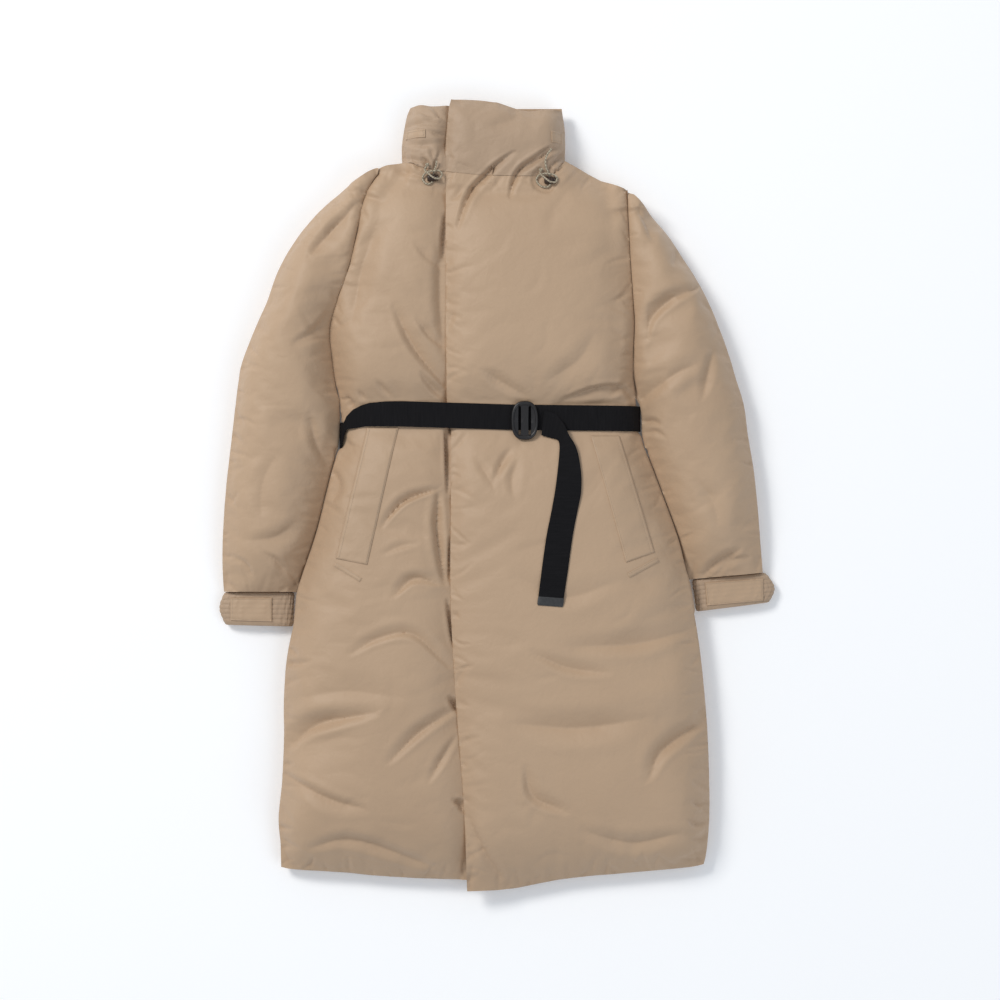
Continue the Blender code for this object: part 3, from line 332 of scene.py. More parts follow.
def drawcord(side, route):
    """The cord's free end with its lock and its knot."""
    line = curve_through(route, CORD_STEP)
    beat = np.sin(np.arange(len(line)) * 1.9)
    points, faces = tube_rings(line, CORD_DIAMETER / 2 * (1 + 0.03 * beat), CORD_SIDES)
    cord = piece_from("drawcord_end_" + side, points, faces, BRAID,
                      ["drawcord_" + side])
    centre = route[LOCK_AT[side]]
    points, faces = turned_on_x([(a * LOCK_LENGTH, r * LOCK_RADIUS) for a, r in BARREL],
                                LOCK_SIDES, centre)
    ahead = np.array(route[LOCK_AT[side] + 1]) - np.array(route[LOCK_AT[side] - 1])
    ahead /= np.linalg.norm(ahead)
    for end in (-1, 1):
        mouth = np.array(centre) + end * ahead * LOCK_RADIUS * 0.90
        rim = np.array([mouth + end * ahead * out for out, _ in MOUTH])
        add_shell(points, faces, *tube_rings(rim, [radius for _, radius in MOUTH], MOUTH_SIDES))
    lock = piece_from("lock_" + side, points, faces, LOCK_PLASTIC,
                      ["cord_lock_" + side], sharp=35)
    low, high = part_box("cord_knot_" + side)
    middle = np.array((low + high) / 2)
    turns = np.linspace(0, 2 * math.pi, KNOT_POINTS)
    tied = np.stack([np.sin(turns) + 2 * np.sin(2 * turns), np.cos(turns) - 2 * np.cos(2 * turns),
                     -1.3 * np.sin(3 * turns)], axis=1)
    tied = middle + tied * (KNOT_REACH - 0.0010) / 3.0
    points, faces = tube_rings(tied, np.full(KNOT_POINTS, KNOT_CORD_RADIUS), 10)
    knot = piece_from("knot_" + side, points, faces, BRAID, ["cord_knot_" + side])


drawcord("right", CORD_RIGHT)
drawcord("left", CORD_LEFT)


# ---------------------------------------------------------------- back of the coat
# One down-filled panel of smooth shell cloth from the neck to the hem.  It lies on the table, so
# its outer skin is pressed flat, with a few shallow creases and a channel where the belt passes.
SHELL_LIGHT = (0.490, 0.340, 0.218)
SHELL_DARK = (0.445, 0.304, 0.193)
BELT_LINE = ((-0.240, 0.088), (-0.2315, 0.093), (-0.215, 0.106), (-0.190, 0.119),
             (-0.1425, 0.1225), (0.020, 0.1175), (0.220, 0.1155))
BELT_HALF = 0.019
# What shows of the belt from above: at the wearer's right side the cloth swells over its lower
# edge, so its upper and its lower visible edge run together there.
BELT_TOP = ((-0.2400, 0.0880), (-0.2320, 0.1030), (-0.2255, 0.1190), (-0.2156, 0.1290),
            (-0.2030, 0.1353), (-0.1905, 0.1390), (-0.1655, 0.1412), (-0.1425, 0.1415),
            (0.0200, 0.1365), (0.2200, 0.1345))
BELT_FOOT = ((-0.2400, 0.0800), (-0.2320, 0.0960), (-0.2235, 0.1000), (-0.2115, 0.1014),
             (-0.1945, 0.1040), (-0.1655, 0.1037), (-0.1425, 0.1035), (0.0200, 0.0985),
             (0.2200, 0.0965))
CORNER = 36.0             # a rim that turns by more degrees than this has a sewn corner
UPWARD = 0.02             # a face whose normal rises by more than this belongs to the upper skin
RIM_ROOM = 0.62           # of the net's spacing, kept free inside the rim

SETTLING = 20             # frames of the filling's simulation
FINEST_KEPT = 0.25        # of the simulation's ripples that are narrower than about 10 mm
DEEPENING = 1.55
SEAM_HOLD = 0.85          # how much a level seam holds the filling back
SWELL_REACH = 0.011
SWELL_KEPT = 0.35
BELT_GIVE = 0.12          # of a crease's depth that stays under the belt
SHELL_EASING = 44         # rounds of evening-out that a front's plain solid gets
SLEEVE_EASING = 34

# A crease: the places it runs through, its half width, its depth and how much gentler
# its left bank is than its right one.
Crease = namedtuple("Crease", "places width depth lean")

# Seams whose two sides lie nearly level: the places they run through, and how level each is.
NECK_SEAM = ((-0.1425, 0.4985, 0.2), (-0.1275, 0.4975, 0.7), (-0.1155, 0.4920, 0.9),
             (-0.0975, 0.4875, 1.0), (-0.0765, 0.4845, 1.0), (-0.0195, 0.4790, 1.0),
             (0.0720, 0.4780, 1.0), (0.0885, 0.4870, 0.9), (0.1020, 0.5015, 0.2))
RIGHT_ARMHOLE = ((-0.1755, 0.4860, 0.8), (-0.1965, 0.4520, 0.9), (-0.2055, 0.4110, 1.0),
                 (-0.2130, 0.3770, 0.9), (-0.2280, 0.3170, 0.45), (-0.2480, 0.2750, 0.15),
                 (-0.2490, 0.2270, 0.10), (-0.2430, 0.1700, 0.0))
LEFT_ARMHOLE = ((0.1950, 0.4590, 0.95), (0.1965, 0.3990, 0.75), (0.1990, 0.3600, 0.35),
                (0.2010, 0.3240, 0.25), (0.2055, 0.2570, 0.55), (0.2040, 0.1970, 0.30),
                (0.2085, 0.1440, 0.0))
SEAM_REACH = 0.030        # how far beside a seam the skins are brought to one level
SEAM_SOFT = 0.0030
GROOVE_HALF = 0.0045
NECK_GROOVE = 0.0009
ARMHOLE_GROOVE = 0.0110
# Where a sleeve lies against the body's side below the belt.
RIGHT_SIDE_LINE = ((-0.2386, 0.0720), (-0.2498, 0.0340), (-0.2708, -0.0510), (-0.2933, -0.1190),
                   (-0.3012, -0.1445), (-0.3038, -0.1700), (-0.3066, -0.1960))
LEFT_SIDE_LINE = ((0.2250, 0.0660), (0.2409, 0.0240), (0.2714, -0.0600), (0.2833, -0.1060),
                  (0.2892, -0.1255), (0.2940, -0.1500), (0.2978, -0.1740))
# Half of the gap that shows at a side, in an armhole and at the neck.
SIDE_GAP = 0.0012
ARMHOLE_GAP = 0.0028
NECK_GAP = 0.0005
# Where the sleeves touch the belt, and where the body swells above and below it.
SLEEVE_BY_BELT = (((-0.2372, 0.1400), (-0.2364, 0.1170), (-0.2366, 0.0940), (-0.2398, 0.0700)),
                  ((0.2140, 0.1420), (0.2174, 0.1170), (0.2180, 0.0940), (0.2236, 0.0680)))
BODY_BY_BELT = (((-0.2400, 0.1620), (-0.2362, 0.1430), (-0.2352, 0.1270), (-0.2345, 0.1110)),
                ((-0.2368, 0.0712), (-0.2395, 0.0660), (-0.2425, 0.0580)),
                ((0.2160, 0.0950), (0.2182, 0.0840), (0.2220, 0.0700), (0.2255, 0.0640)))
# The outline over each shoulder, from the body to the sleeve's head.
RIGHT_SHOULDER = ((-0.2205, 0.4673), (-0.2055, 0.4770), (-0.1875, 0.4885), (-0.1700, 0.4940),
                  (-0.1560, 0.4965), (-0.1440, 0.4980))
LEFT_SHOULDER = ((0.1560, 0.4735), (0.1740, 0.4672), (0.1950, 0.4590), (0.2085, 0.4480),
                 (0.2220, 0.4330))
DRAWN_FROM = 0.0080       # a rim that is farther than this from such a line stays where it is
DRAWN_REACH = 0.0140      # how far behind a moved rim the cloth still follows


def along(line, x):
    """The y of a line given by places, at some x."""
    return np.interp(x, [p[0] for p in line], [p[1] for p in line])


def belt_y(x):
    """The y of the belt's middle line at some x."""
    return along(BELT_LINE, x)


def eased(values, low, high):
    """0 below the lower value and 1 above the higher one, with a soft change between."""
    t = np.clip((values - low) / (high - low), 0, 1)
    return t * t * (3 - 2 * t)


def off_belt(points, seen=True):
    """0 under the belt and 1 a little way above and below it, by its seen or by its whole width."""
    x, y = points[:, 0], points[:, 1]
    if seen:
        away = np.maximum(y - along(BELT_TOP, x), along(BELT_FOOT, x) - y)
    else:
        away = np.abs(y - belt_y(x)) - BELT_HALF
    return eased(away, 0.001, 0.012)


def nearest_on(line, places):
    """For each place the nearest point's number on a line, and how far off it is."""
    near = KDTree(len(line))
    for i, p in enumerate(line):
        near.insert((p[0], p[1], 0.0), i)
    near.balance()
    found = [near.find((p[0], p[1], 0.0)) for p in places]
    return np.array([f[1] for f in found]), np.array([f[2] for f in found])


def tree_of(*pieces):
    """One search tree over the outer surfaces of some pieces."""
    points, faces = [], []
    for piece in pieces:
        add_shell(points, faces, [v.co.copy() for v in piece.data.vertices],
                  [p.vertices for p in piece.data.polygons])
    return BVHTree.FromPolygons(points, faces)


def seam_level(seam, tree, groove):
    """A sewn seam: its line, how level its two sides are, their height and its own groove."""
    line = curve_through(seam, 0.0015)
    way = np.gradient(line[:, :2], axis=0)
    way /= np.linalg.norm(way, axis=1)[:, None]
    out = np.stack([-way[:, 1], way[:, 0]], axis=1)
    beside = []
    for place, side in zip(line[:, :2], out):
        found = [tree.ray_cast(Vector((*(place + side * offset), 1.0)), Vector((0, 0, -1)))[0]
                 for offset in (SEAM_REACH, -SEAM_REACH)]
        found = [hit.z for hit in found if hit]
        beside.append(np.mean(found) if found else 0.03)
    beside = np.convolve(np.pad(beside, 7, mode="edge"), np.ones(15) / 15, "valid")
    return line[:, :2], line[:, 2], beside, groove


def fill_out(points, top, seams):
    """The upper skins brought up to one level along their sewn seams, with a groove between."""
    for line, level, beside, groove in seams:
        step, away = nearest_on(line, points)
        lack = beside[step] - groove * np.exp(-away / GROOVE_HALF) - points[:, 2]
        lift = 0.5 * (lack + np.sqrt(lack**2 + SEAM_SOFT**2))
        share = 1 - eased(away, 0.5 * SEAM_REACH, 1.4 * SEAM_REACH)
        points[:, 2] += np.where(top, lift * share * level[step], 0)
    return points


def drawn_to(points, on_rim, line, clear, at_belt=False):
    """The rim moved up to a line that it meets, with the cloth just behind it.

    Where the line has a third column, the level of a seam, the clearance widens as it falls."""
    line = curve_through(line, 0.001)
    rim = np.flatnonzero(on_rim)
    step, away = nearest_on(line[:, :2], points[rim])
    if line.shape[1] > 2:
        clear = clear * (1.15 - line[step, 2])
    line = line[:, :2]
    ends = (step > 0) & (step < len(line) - 1)
    pull = np.clip(away - clear, 0, None) / away.clip(1e-6) * ends
    pull *= 1 - eased(away, 0.7 * DRAWN_FROM, DRAWN_FROM)
    if not at_belt:
        pull *= off_belt(points[rim], seen=False)
    move = (line[step] - points[rim, :2]) * pull[:, None]
    step, away = nearest_on(points[rim, :2], points)
    share = np.clip(1 - away / DRAWN_REACH, 0, 1) ** 2
    points[:, :2] += move[step] * share[:, None]
    return points


def near_seams(points):
    """1 on a level seam, falling to 0 beside it."""
    near = np.zeros(len(points))
    for line, level, _, _ in LEVEL_SEAMS:
        step, away = nearest_on(line, points)
        near = np.maximum(near, level[step] * np.exp(-((away / 0.011) ** 2)))
    return near


def rim_of(solid):
    """Plan outline of a panel, anticlockwise: rows of x, y, upper height and lower height."""
    shape = bmesh.new()
    shape.from_mesh(solid.data)
    bmesh.ops.remove_doubles(shape, verts=shape.verts, dist=2e-6)
    shape.normal_update()
    following, lowest = {}, {}
    for vert in shape.verts:
        key = (round(vert.co.x, 4), round(vert.co.y, 4))
        lowest[key] = min(lowest.get(key, 1.0), vert.co.z)
    for face in shape.faces:
        if face.normal.z <= UPWARD:
            continue
        for loop in face.loops:
            beyond = [f for f in loop.edge.link_faces if f is not face]
            if beyond and beyond[0].normal.z <= UPWARD:
                following[loop.vert] = loop.link_loop_next.vert
    best = []
    left = set(following)
    while left:
        start = min(left, key=lambda v: (v.co.x, v.co.y, v.co.z))
        walk, vert = [], start
        while vert in left:
            left.discard(vert)
            walk.append(vert)
            vert = following[vert]
        if len(walk) > len(best):
            best = walk
    rim = []
    for vert in best:
        key = (round(vert.co.x, 4), round(vert.co.y, 4))
        rim.append((*vert.co, lowest[key]))
    shape.free()
    return np.array(rim)


def even_rim(rim, spacing):
    """The rim with points at an even spacing, curved between its corners."""
    before, after = np.roll(rim, 1, axis=0), np.roll(rim, -1, axis=0)
    into = (rim - before)[:, :2]
    out = (after - rim)[:, :2]
    turn = np.degrees(np.arctan2(into[:, 0] * out[:, 1] - into[:, 1] * out[:, 0],
                                 (into * out).sum(axis=1)))
    corners = np.flatnonzero(np.abs(turn) > CORNER)
    if len(corners) < 2:
        corners = np.array([0, len(rim) // 2])
    points = []
    for start, end in zip(corners, np.roll(corners, -1)):
        count = (end - start) % len(rim)
        run = rim[(start + np.arange(count + 1)) % len(rim)]
        fine = curve_through(run, 0.001)
        gone = gone_along(fine[:, :2])
        steps = max(1, int(round(gone[-1] / spacing)))
        marks = np.linspace(0, gone[-1], steps + 1)[:-1]
        points.append(read_off(marks, gone, fine))
    return np.concatenate(points)


def inside(places, ring):
    """Which places lie inside a closed ring."""
    hit = np.zeros(len(places), bool)
    for a, b in zip(ring, np.roll(ring, -1, axis=0)):
        if a[1] == b[1]:
            continue
        across = (a[1] > places[:, 1]) != (b[1] > places[:, 1])
        x = a[0] + (places[:, 1] - a[1]) * (b[0] - a[0]) / (b[1] - a[1])
        hit ^= across & (places[:, 0] < x)
    return hit


def lattice(ring, spacing):
    """A triangle net over a ring of points: the ring first, then a honeycomb inside it."""
    low, high = ring.min(axis=0), ring.max(axis=0)
    ys = np.arange(low[1], high[1], spacing * math.sqrt(3) / 2)
    rows = []
    for k, y in enumerate(ys):
        xs = np.arange(low[0] + (k % 2) * spacing / 2, high[0], spacing)
        rows.append(np.stack([xs, np.full(len(xs), y)], axis=1))
    places = np.concatenate(rows)
    places = places[inside(places, ring)]
    clear = nearest_on(ring, places)[1] > spacing * RIM_ROOM
    places = np.concatenate([ring, places[clear]])
    edges = [(i, (i + 1) % len(ring)) for i in range(len(ring))]
    net = geometry.delaunay_2d_cdt([Vector(p) for p in places], edges, [], 1, 1e-9)
    source = np.array([group[0] if group else -1 for group in net[3]])
    faces = source[np.array(net[2])]
    a, b, c = (places[faces[:, k]] for k in range(3))
    area = (b[:, 0] - a[:, 0]) * (c[:, 1] - a[:, 1]) - (b[:, 1] - a[:, 1]) * (c[:, 0] - a[:, 0])
    faces[area < 0] = faces[area < 0][:, ::-1]
    return places, faces[np.abs(area) > 1e-12]


def edges_of(faces):
    """The net's edges, each once."""
    pairs = np.concatenate([faces[:, [0, 1]], faces[:, [1, 2]], faces[:, [2, 0]]])
    return np.unique(np.sort(pairs, axis=1), axis=0)


def sum_beside(edge, values):
    """For each point of a net the sum of its neighbours' values."""
    return np.stack([np.bincount(edge[:, 0], values[edge[:, 1], c], len(values))
                     + np.bincount(edge[:, 1], values[edge[:, 0], c], len(values))
                     for c in range(values.shape[1])], axis=1)


def relaxed(values, faces, held, rounds):
    """Values evened out over the net, with the held ones left alone."""
    edge = edges_of(faces)
    values = np.array(values, float)
    flat = values.reshape(len(values), -1)
    count = np.bincount(edge.ravel(), minlength=len(flat))[:, None].clip(1)
    for _ in range(rounds):
        flat = np.where(held[:, None], flat, 0.5 * flat + 0.5 * sum_beside(edge, flat) / count)
    return flat.reshape(values.shape)


def heights(tree, places, downward, guess):
    """Where vertical lines through the places meet a skin."""
    found = np.array(guess, float)
    way = Vector((0, 0, -1)) if downward else Vector((0, 0, 1))
    for i, p in enumerate(places):
        hit = tree.ray_cast(Vector((p[0], p[1], 1.0 if downward else -1.0)), way)[0]
        if hit is not None:
            found[i] = hit.z
    return found


def panel_net(node, above, below, ease, belted=False):
    """A closed net over a panel's solid: fine skins above and below, joined along the rim.

    A belted panel keeps its height where the belt lies on it."""
    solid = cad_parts[node]
    rim = even_rim(rim_of(solid), above)
    ring = rim[:, :2]
    tree = tree_of(solid)
    count = len(ring)
    upper, upper_faces = lattice(ring, above)
    lower, lower_faces = lattice(ring, below)
    z_up = heights(tree, upper[count:], True, np.full(len(upper) - count, rim[:, 2].mean()))
    z_up = np.concatenate([rim[:, 2], z_up])
    held = np.arange(len(upper)) < count
    if belted:
        held |= off_belt(upper) < 0.5
    z_up = relaxed(z_up, upper_faces, held, ease)
    z_low = heights(tree, lower[count:], False, np.full(len(lower) - count, rim[:, 3].mean()))
    z_low = np.concatenate([rim[:, 3], z_low])
    points = np.concatenate([np.column_stack([upper, z_up]), np.column_stack([lower, z_low])])
    here = np.arange(count)
    after = np.roll(here, -1)
    base = len(upper)
    wall = np.concatenate([np.stack([here + base, after + base, after], axis=1),
                           np.stack([here + base, after, here], axis=1)])
    faces = np.concatenate([upper_faces, lower_faces[:, ::-1] + base, wall])
    top = np.arange(len(points)) < base
    on_rim = np.zeros(len(points), bool)
    on_rim[:count] = on_rim[base:base + count] = True
    return points, faces, top, on_rim


def normals_of(points, faces):
    """Each point's normal, from the faces round it by their areas."""
    a, b, c = (points[faces[:, k]] for k in range(3))
    flat = np.cross(b - a, c - a)
    total = np.stack([sum(np.bincount(faces[:, k], flat[:, c], len(points)) for k in range(3))
                      for c in range(3)], axis=1)
    return total / np.linalg.norm(total, axis=1).clip(1e-12)[:, None]


def refined(points, faces, top, on_rim):
    """One step of subdivision that rounds the skins and keeps the rim's line sharp."""
    pairs = np.sort(np.concatenate([faces[:, [0, 1]], faces[:, [1, 2]], faces[:, [2, 0]]]), axis=1)
    facing = np.concatenate([faces[:, 2], faces[:, 0], faces[:, 1]])
    edge, index = np.unique(pairs, axis=0, return_inverse=True)
    index = index.ravel()
    far = np.stack([np.bincount(index, points[facing, c], len(edge)) for c in range(3)], axis=1)
    ends = points[edge[:, 0]] + points[edge[:, 1]]
    middles = 0.375 * ends + 0.125 * far
    both = on_rim[edge[:, 0]] & on_rim[edge[:, 1]]
    keen = both & (top[edge[:, 0]] == top[edge[:, 1]])
    middles[keen] = 0.5 * ends[keen]
    count = np.bincount(edge.ravel(), minlength=len(points)).astype(float)
    share = np.where(count > 3, 3 / (8 * count.clip(1)), 3 / 16)[:, None]
    moved = points * (1 - count[:, None] * share) + share * sum_beside(edge, points)
    moved[on_rim] = points[on_rim]
    wedge = len(points) + index.reshape(3, -1)
    a, b, c = faces.T
    ab, bc, ca = wedge
    split = np.concatenate([np.stack(s, axis=1) for s in
                            ((a, ab, ca), (ab, b, bc), (ca, bc, c), (ab, bc, ca))])
    return (np.concatenate([moved, middles]), split,
            np.concatenate([top, top[edge[:, 0]] & top[edge[:, 1]]]),
            np.concatenate([on_rim, keen]))


def filled(points, faces, free, pressure, slack, reach, low_share):
    """Down filling: the cloth between the held places is blown up and creases as it settles.

    The broad swelling is kept by a share only, so that the piece stays near its own size, and
    no point ends up more than the reach away from where it began."""
    mesh = bpy.data.meshes.new("filling")
    mesh.from_pydata([tuple(p) for p in points], [], [tuple(map(int, f)) for f in faces])
    body = bpy.data.objects.new("filling", mesh)
    SCENE.collection.objects.link(body)
    sewn = body.vertex_groups.new(name="sewn")
    for i in np.flatnonzero(free < 0.999):
        sewn.add([int(i)], float(1 - free[i]), "REPLACE")
    cloth = body.modifiers.new("filling", "CLOTH")
    cloth.settings.quality = 4
    cloth.settings.mass = 0.15
    cloth.settings.tension_stiffness = 15
    cloth.settings.compression_stiffness = 15
    cloth.settings.shear_stiffness = 4
    cloth.settings.bending_stiffness = 0.35
    cloth.settings.vertex_group_mass = "sewn"
    cloth.settings.pin_stiffness = 1.0
    cloth.settings.shrink_min = -slack
    cloth.settings.use_pressure = True
    cloth.settings.uniform_pressure_force = pressure
    cloth.settings.effector_weights.gravity = 0.0
    cloth.collision_settings.use_collision = False
    cloth.point_cache.frame_start = 1
    cloth.point_cache.frame_end = SETTLING
    for number in range(1, SETTLING + 1):
        SCENE.frame_set(number)
    settled = body.evaluated_get(bpy.context.evaluated_depsgraph_get()).to_mesh()
    now = np.zeros(len(points) * 3)
    settled.vertices.foreach_get("co", now)
    bpy.data.objects.remove(body)
    bpy.data.meshes.remove(mesh)
    SCENE.frame_set(1)
    shift = (now.reshape(-1, 3) - points) * np.minimum(free * 1.5, 1.0)[:, None]
    loose = np.zeros(len(points), bool)
    folds = relaxed(shift, faces, loose, 5)
    broad = relaxed(folds, faces, loose, 85)
    shift = broad * low_share + (folds - broad) * 0.9 + (shift - folds) * FINEST_KEPT
    size = np.linalg.norm(shift, axis=1).clip(1e-9)
    return points + shift * (reach * np.tanh(size / reach) / size)[:, None]


def deepened(creases):
    """Listed creases at the depth that stays once the filling has swelled over them."""
    return [Crease(*c)._replace(depth=c[2] * DEEPENING) for c in creases]


def creased(points, faces, give, creases, upright=None):
    """The skin pressed in along creases, with the cloth heaped up a little on their banks.

    Upright points, those of a rim that a crease runs through, only move up and down."""
    lift = np.zeros(len(points))
    for crease in creases:
        line = curve_through(crease.places, 0.003)
        reach = crease.width * 4
        low, high = line.min(axis=0) - reach, line.max(axis=0) + reach
        boxed = ((points[:, :2] > low) & (points[:, :2] < high)).all(axis=1)
        near = np.flatnonzero(boxed & (give > 0))
        if not len(near):
            continue
        gap = points[near, None, :2] - line[None]
        away = (gap**2).sum(axis=2)
        step = away.argmin(axis=1)
        way = np.gradient(line, axis=0)
        gap = gap[np.arange(len(near)), step]
        side = np.sign(way[step, 0] * gap[:, 1] - way[step, 1] * gap[:, 0])
        taper = np.sin(np.pi * (0.05 + 0.90 * step / (len(line) - 1))) ** 0.8
        wide = crease.width * (0.55 + 0.45 * taper) * (1 + crease.lean * side)
        across = np.sqrt(away.min(axis=1)) / wide
        trough = np.exp(-across**1.15)
        bank = 0.24 * np.exp(-((across - 1.8) ** 2) / 0.8)
        lift[near] += crease.depth * taper * (bank - trough)
    way = normals_of(points, faces)
    if upright is not None:
        way[upright] = (0.0, 0.0, 1.0)
    return points + way * (lift * give)[:, None]


def small_creases(seed, count, low, high, length, depth, heading, spread):
    """Short soft creases strewn over an area, most of them near one heading in degrees."""
    draw = np.random.default_rng(seed)
    made = []
    for _ in range(count):
        start = draw.uniform(low, high)
        angle = math.radians(draw.normal(heading, spread))
        run = draw.uniform(*length)
        way = np.array((math.cos(angle), math.sin(angle)))
        bend = np.array((-way[1], way[0])) * draw.normal(0, 0.12) * run
        made.append(Crease((start - way * run / 2, start + bend, start + way * run / 2),
                           draw.uniform(0.10, 0.18) * run, draw.uniform(*depth),
                           draw.uniform(-0.4, 0.4)))
    return made


def puckers(seed, ring, spacing, length, depth, part=(0.0, 1.0)):
    """Little gathers that start at a seam and fade into the panel."""
    draw = np.random.default_rng(seed)
    count = len(ring)
    way = np.roll(ring, -1, axis=0) - np.roll(ring, 1, axis=0)
    way /= np.linalg.norm(way, axis=1)[:, None]
    pitch = np.linalg.norm(ring[1] - ring[0])
    made, place = [], part[0] * count
    while place < part[1] * count - 1:
        i = int(place) % count
        angle = draw.normal(0, 0.45)
        inward = np.array((-way[i, 1], way[i, 0]))
        lean = inward * math.cos(angle) + way[i] * math.sin(angle)
        run = draw.uniform(*length)
        start = ring[i] - lean * 0.004
        bent = start + lean * run * 0.5 + way[i] * draw.normal(0, 0.06) * run
        made.append(Crease((start, bent, start + lean * run), draw.uniform(0.0025, 0.0045),
                           draw.uniform(*depth), draw.uniform(-0.3, 0.3)))
        place += draw.uniform(0.4, 1.6) * spacing / pitch
    return made


def cloth_finish(name, light, dark, crinkle):
    """Fine plain-weave polyester with a soft sheen: threads, dye variation and small crumples."""
    material, tree, shader = finish_of(name)
    place = tree.nodes.new("ShaderNodeTexCoord").outputs["Object"]
    warp = wave_of(tree, place, "X", 520.0, 0.6)
    weft = wave_of(tree, place, "Y", 520.0, 0.6)
    threads = sum_of(tree, warp.outputs["Fac"], weft.outputs["Fac"], 0.5, 0.5)
    crumple = noise_of(tree, place, 55.0, 3.0, 0.55, 0.8)
    crush = noise_of(tree, place, 190.0, 2.0, 0.5, 0.4)
    folds = sum_of(tree, crumple.outputs["Fac"], crush.outputs["Fac"], 1.0, 0.22)
    relief = sum_of(tree, folds, threads, 1.0, 0.02)
    dye = noise_of(tree, place, 5.0, 4.0, 0.6)
    slub = noise_of(tree, place, 900.0, 1.0)
    shade = sum_of(tree, dye.outputs["Fac"], slub.outputs["Fac"], 0.75, 0.25)
    tinted(tree, shader, shade, dark, light)
    raised_by(tree, shader, relief, 0.0035, crinkle)
    shader.inputs["Roughness"].default_value = 0.56
    shader.inputs["Specular IOR Level"].default_value = 0.42
    shader.inputs["Sheen Weight"].default_value = 0.22
    shader.inputs["Sheen Roughness"].default_value = 0.45
    shader.inputs["Sheen Tint"].default_value = (1.0, 0.93, 0.84, 1.0)
    return material


UPPER_SOLIDS = ("front_right", "front_left", "sleeve_right_top", "sleeve_left_top",
                "collar_right", "collar_left")
upper_tree = tree_of(*(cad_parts[node] for node in UPPER_SOLIDS))
LEVEL_SEAMS = [seam_level(NECK_SEAM, upper_tree, NECK_GROOVE),
               seam_level(RIGHT_ARMHOLE, upper_tree, ARMHOLE_GROOVE),
               seam_level(LEFT_ARMHOLE, upper_tree, ARMHOLE_GROOVE)]
cords = np.concatenate([curve_through(CORD_RIGHT, 0.002), curve_through(CORD_LEFT, 0.002)])
CORD_ROOM = 0.0024        # from a cord's middle down to the cloth
CORD_FLANK = 0.003        # beside its middle, where the cloth may begin to rise


def under_cords(points, top):
    """The cloth kept below the drawcords that lie on it."""
    near = np.flatnonzero(top & (points[:, 1] > 0.44) & (points[:, 1] < 0.54))
    gap = np.sqrt(((points[near, None, :2] - cords[None, :, :2]) ** 2).sum(axis=2))
    beside = np.clip(gap - CORD_FLANK, 0, None)
    ceiling = cords[None, :, 2] - CORD_ROOM + (beside / 0.010) ** 2 * 0.010
    points[near, 2] = np.minimum(points[near, 2], ceiling.min(axis=1))
    return points


SHELL_CLOTH = cloth_finish("tan_shell_cloth", SHELL_LIGHT, SHELL_DARK, 0.26)
PRESSURE = 4.0


def meeting(points, on_rim, side_gap, armhole_gap):
    """The rims drawn together where pieces are sewn to, or lie against, each other."""
    for line in (RIGHT_SIDE_LINE, LEFT_SIDE_LINE):
        points = drawn_to(points, on_rim, line, side_gap)
    for line in (RIGHT_SHOULDER, LEFT_SHOULDER):
        points = drawn_to(points, on_rim, line, 0.0)
    for line in (RIGHT_ARMHOLE, LEFT_ARMHOLE):
        points = drawn_to(points, on_rim, line, armhole_gap)
    return drawn_to(points, on_rim, NECK_SEAM, NECK_GAP)


def beside_belt(points, on_rim, lines):
    """The rims drawn up close above and below the belt."""
    for line in lines:
        points = drawn_to(points, on_rim, line, 0.0, at_belt=True)
    return points


def on_neck(points, on_rim):
    """Rim points that lie on the neck seam."""
    line, level, _, _ = LEVEL_SEAMS[0]
    step, away = nearest_on(line, points)
    return on_rim & (away < 0.0016) & (level[step] > 0.85)


BACK_CREASES = [Crease(*c) for c in (
    (((-0.200, 0.330), (-0.090, 0.300), (0.030, 0.325)), 0.012, 0.0030, 0.2),
    (((-0.150, 0.240), (0.010, 0.215), (0.150, 0.250)), 0.010, 0.0026, -0.2),
    (((-0.230, -0.060), (-0.080, -0.090), (0.060, -0.070)), 0.012, 0.0030, 0.3),
    (((0.030, -0.190), (0.150, -0.215), (0.260, -0.200)), 0.011, 0.0028, 0.1),
    (((-0.270, -0.330), (-0.120, -0.300), (0.020, -0.325)), 0.013, 0.0034, -0.3),
    (((0.060, -0.420), (0.180, -0.450), (0.290, -0.430)), 0.011, 0.0030, 0.2),
    (((-0.060, 0.430), (0.020, 0.380), (0.060, 0.330)), 0.009, 0.0022, 0.0),
    (((-0.240, -0.480), (-0.120, -0.505), (-0.010, -0.490)), 0.010, 0.0026, 0.2))]

points, faces, top, on_rim = panel_net("back", above=0.0110, below=0.0085, ease=4)
points = beside_belt(meeting(points, on_rim, 0.0, 0.0), on_rim, BODY_BY_BELT)
points, faces, top, on_rim = refined(points, faces, top, on_rim)
under = ~top & ~on_rim & (points[:, 2] < 0.012)
resting = under * off_belt(points, seen=False)
strewn = small_creases(11, 60, low=(-0.28, -0.54), high=(0.28, 0.46), length=(0.05, 0.13),
                       depth=(0.0006, 0.0018), heading=10, spread=35)
points = creased(points, faces, resting, BACK_CREASES + strewn)
points[:, 2] = points[:, 2].clip(0.0)
back = piece_from("coat_back", points, faces, SHELL_CLOTH, ["back"], sharp=60)


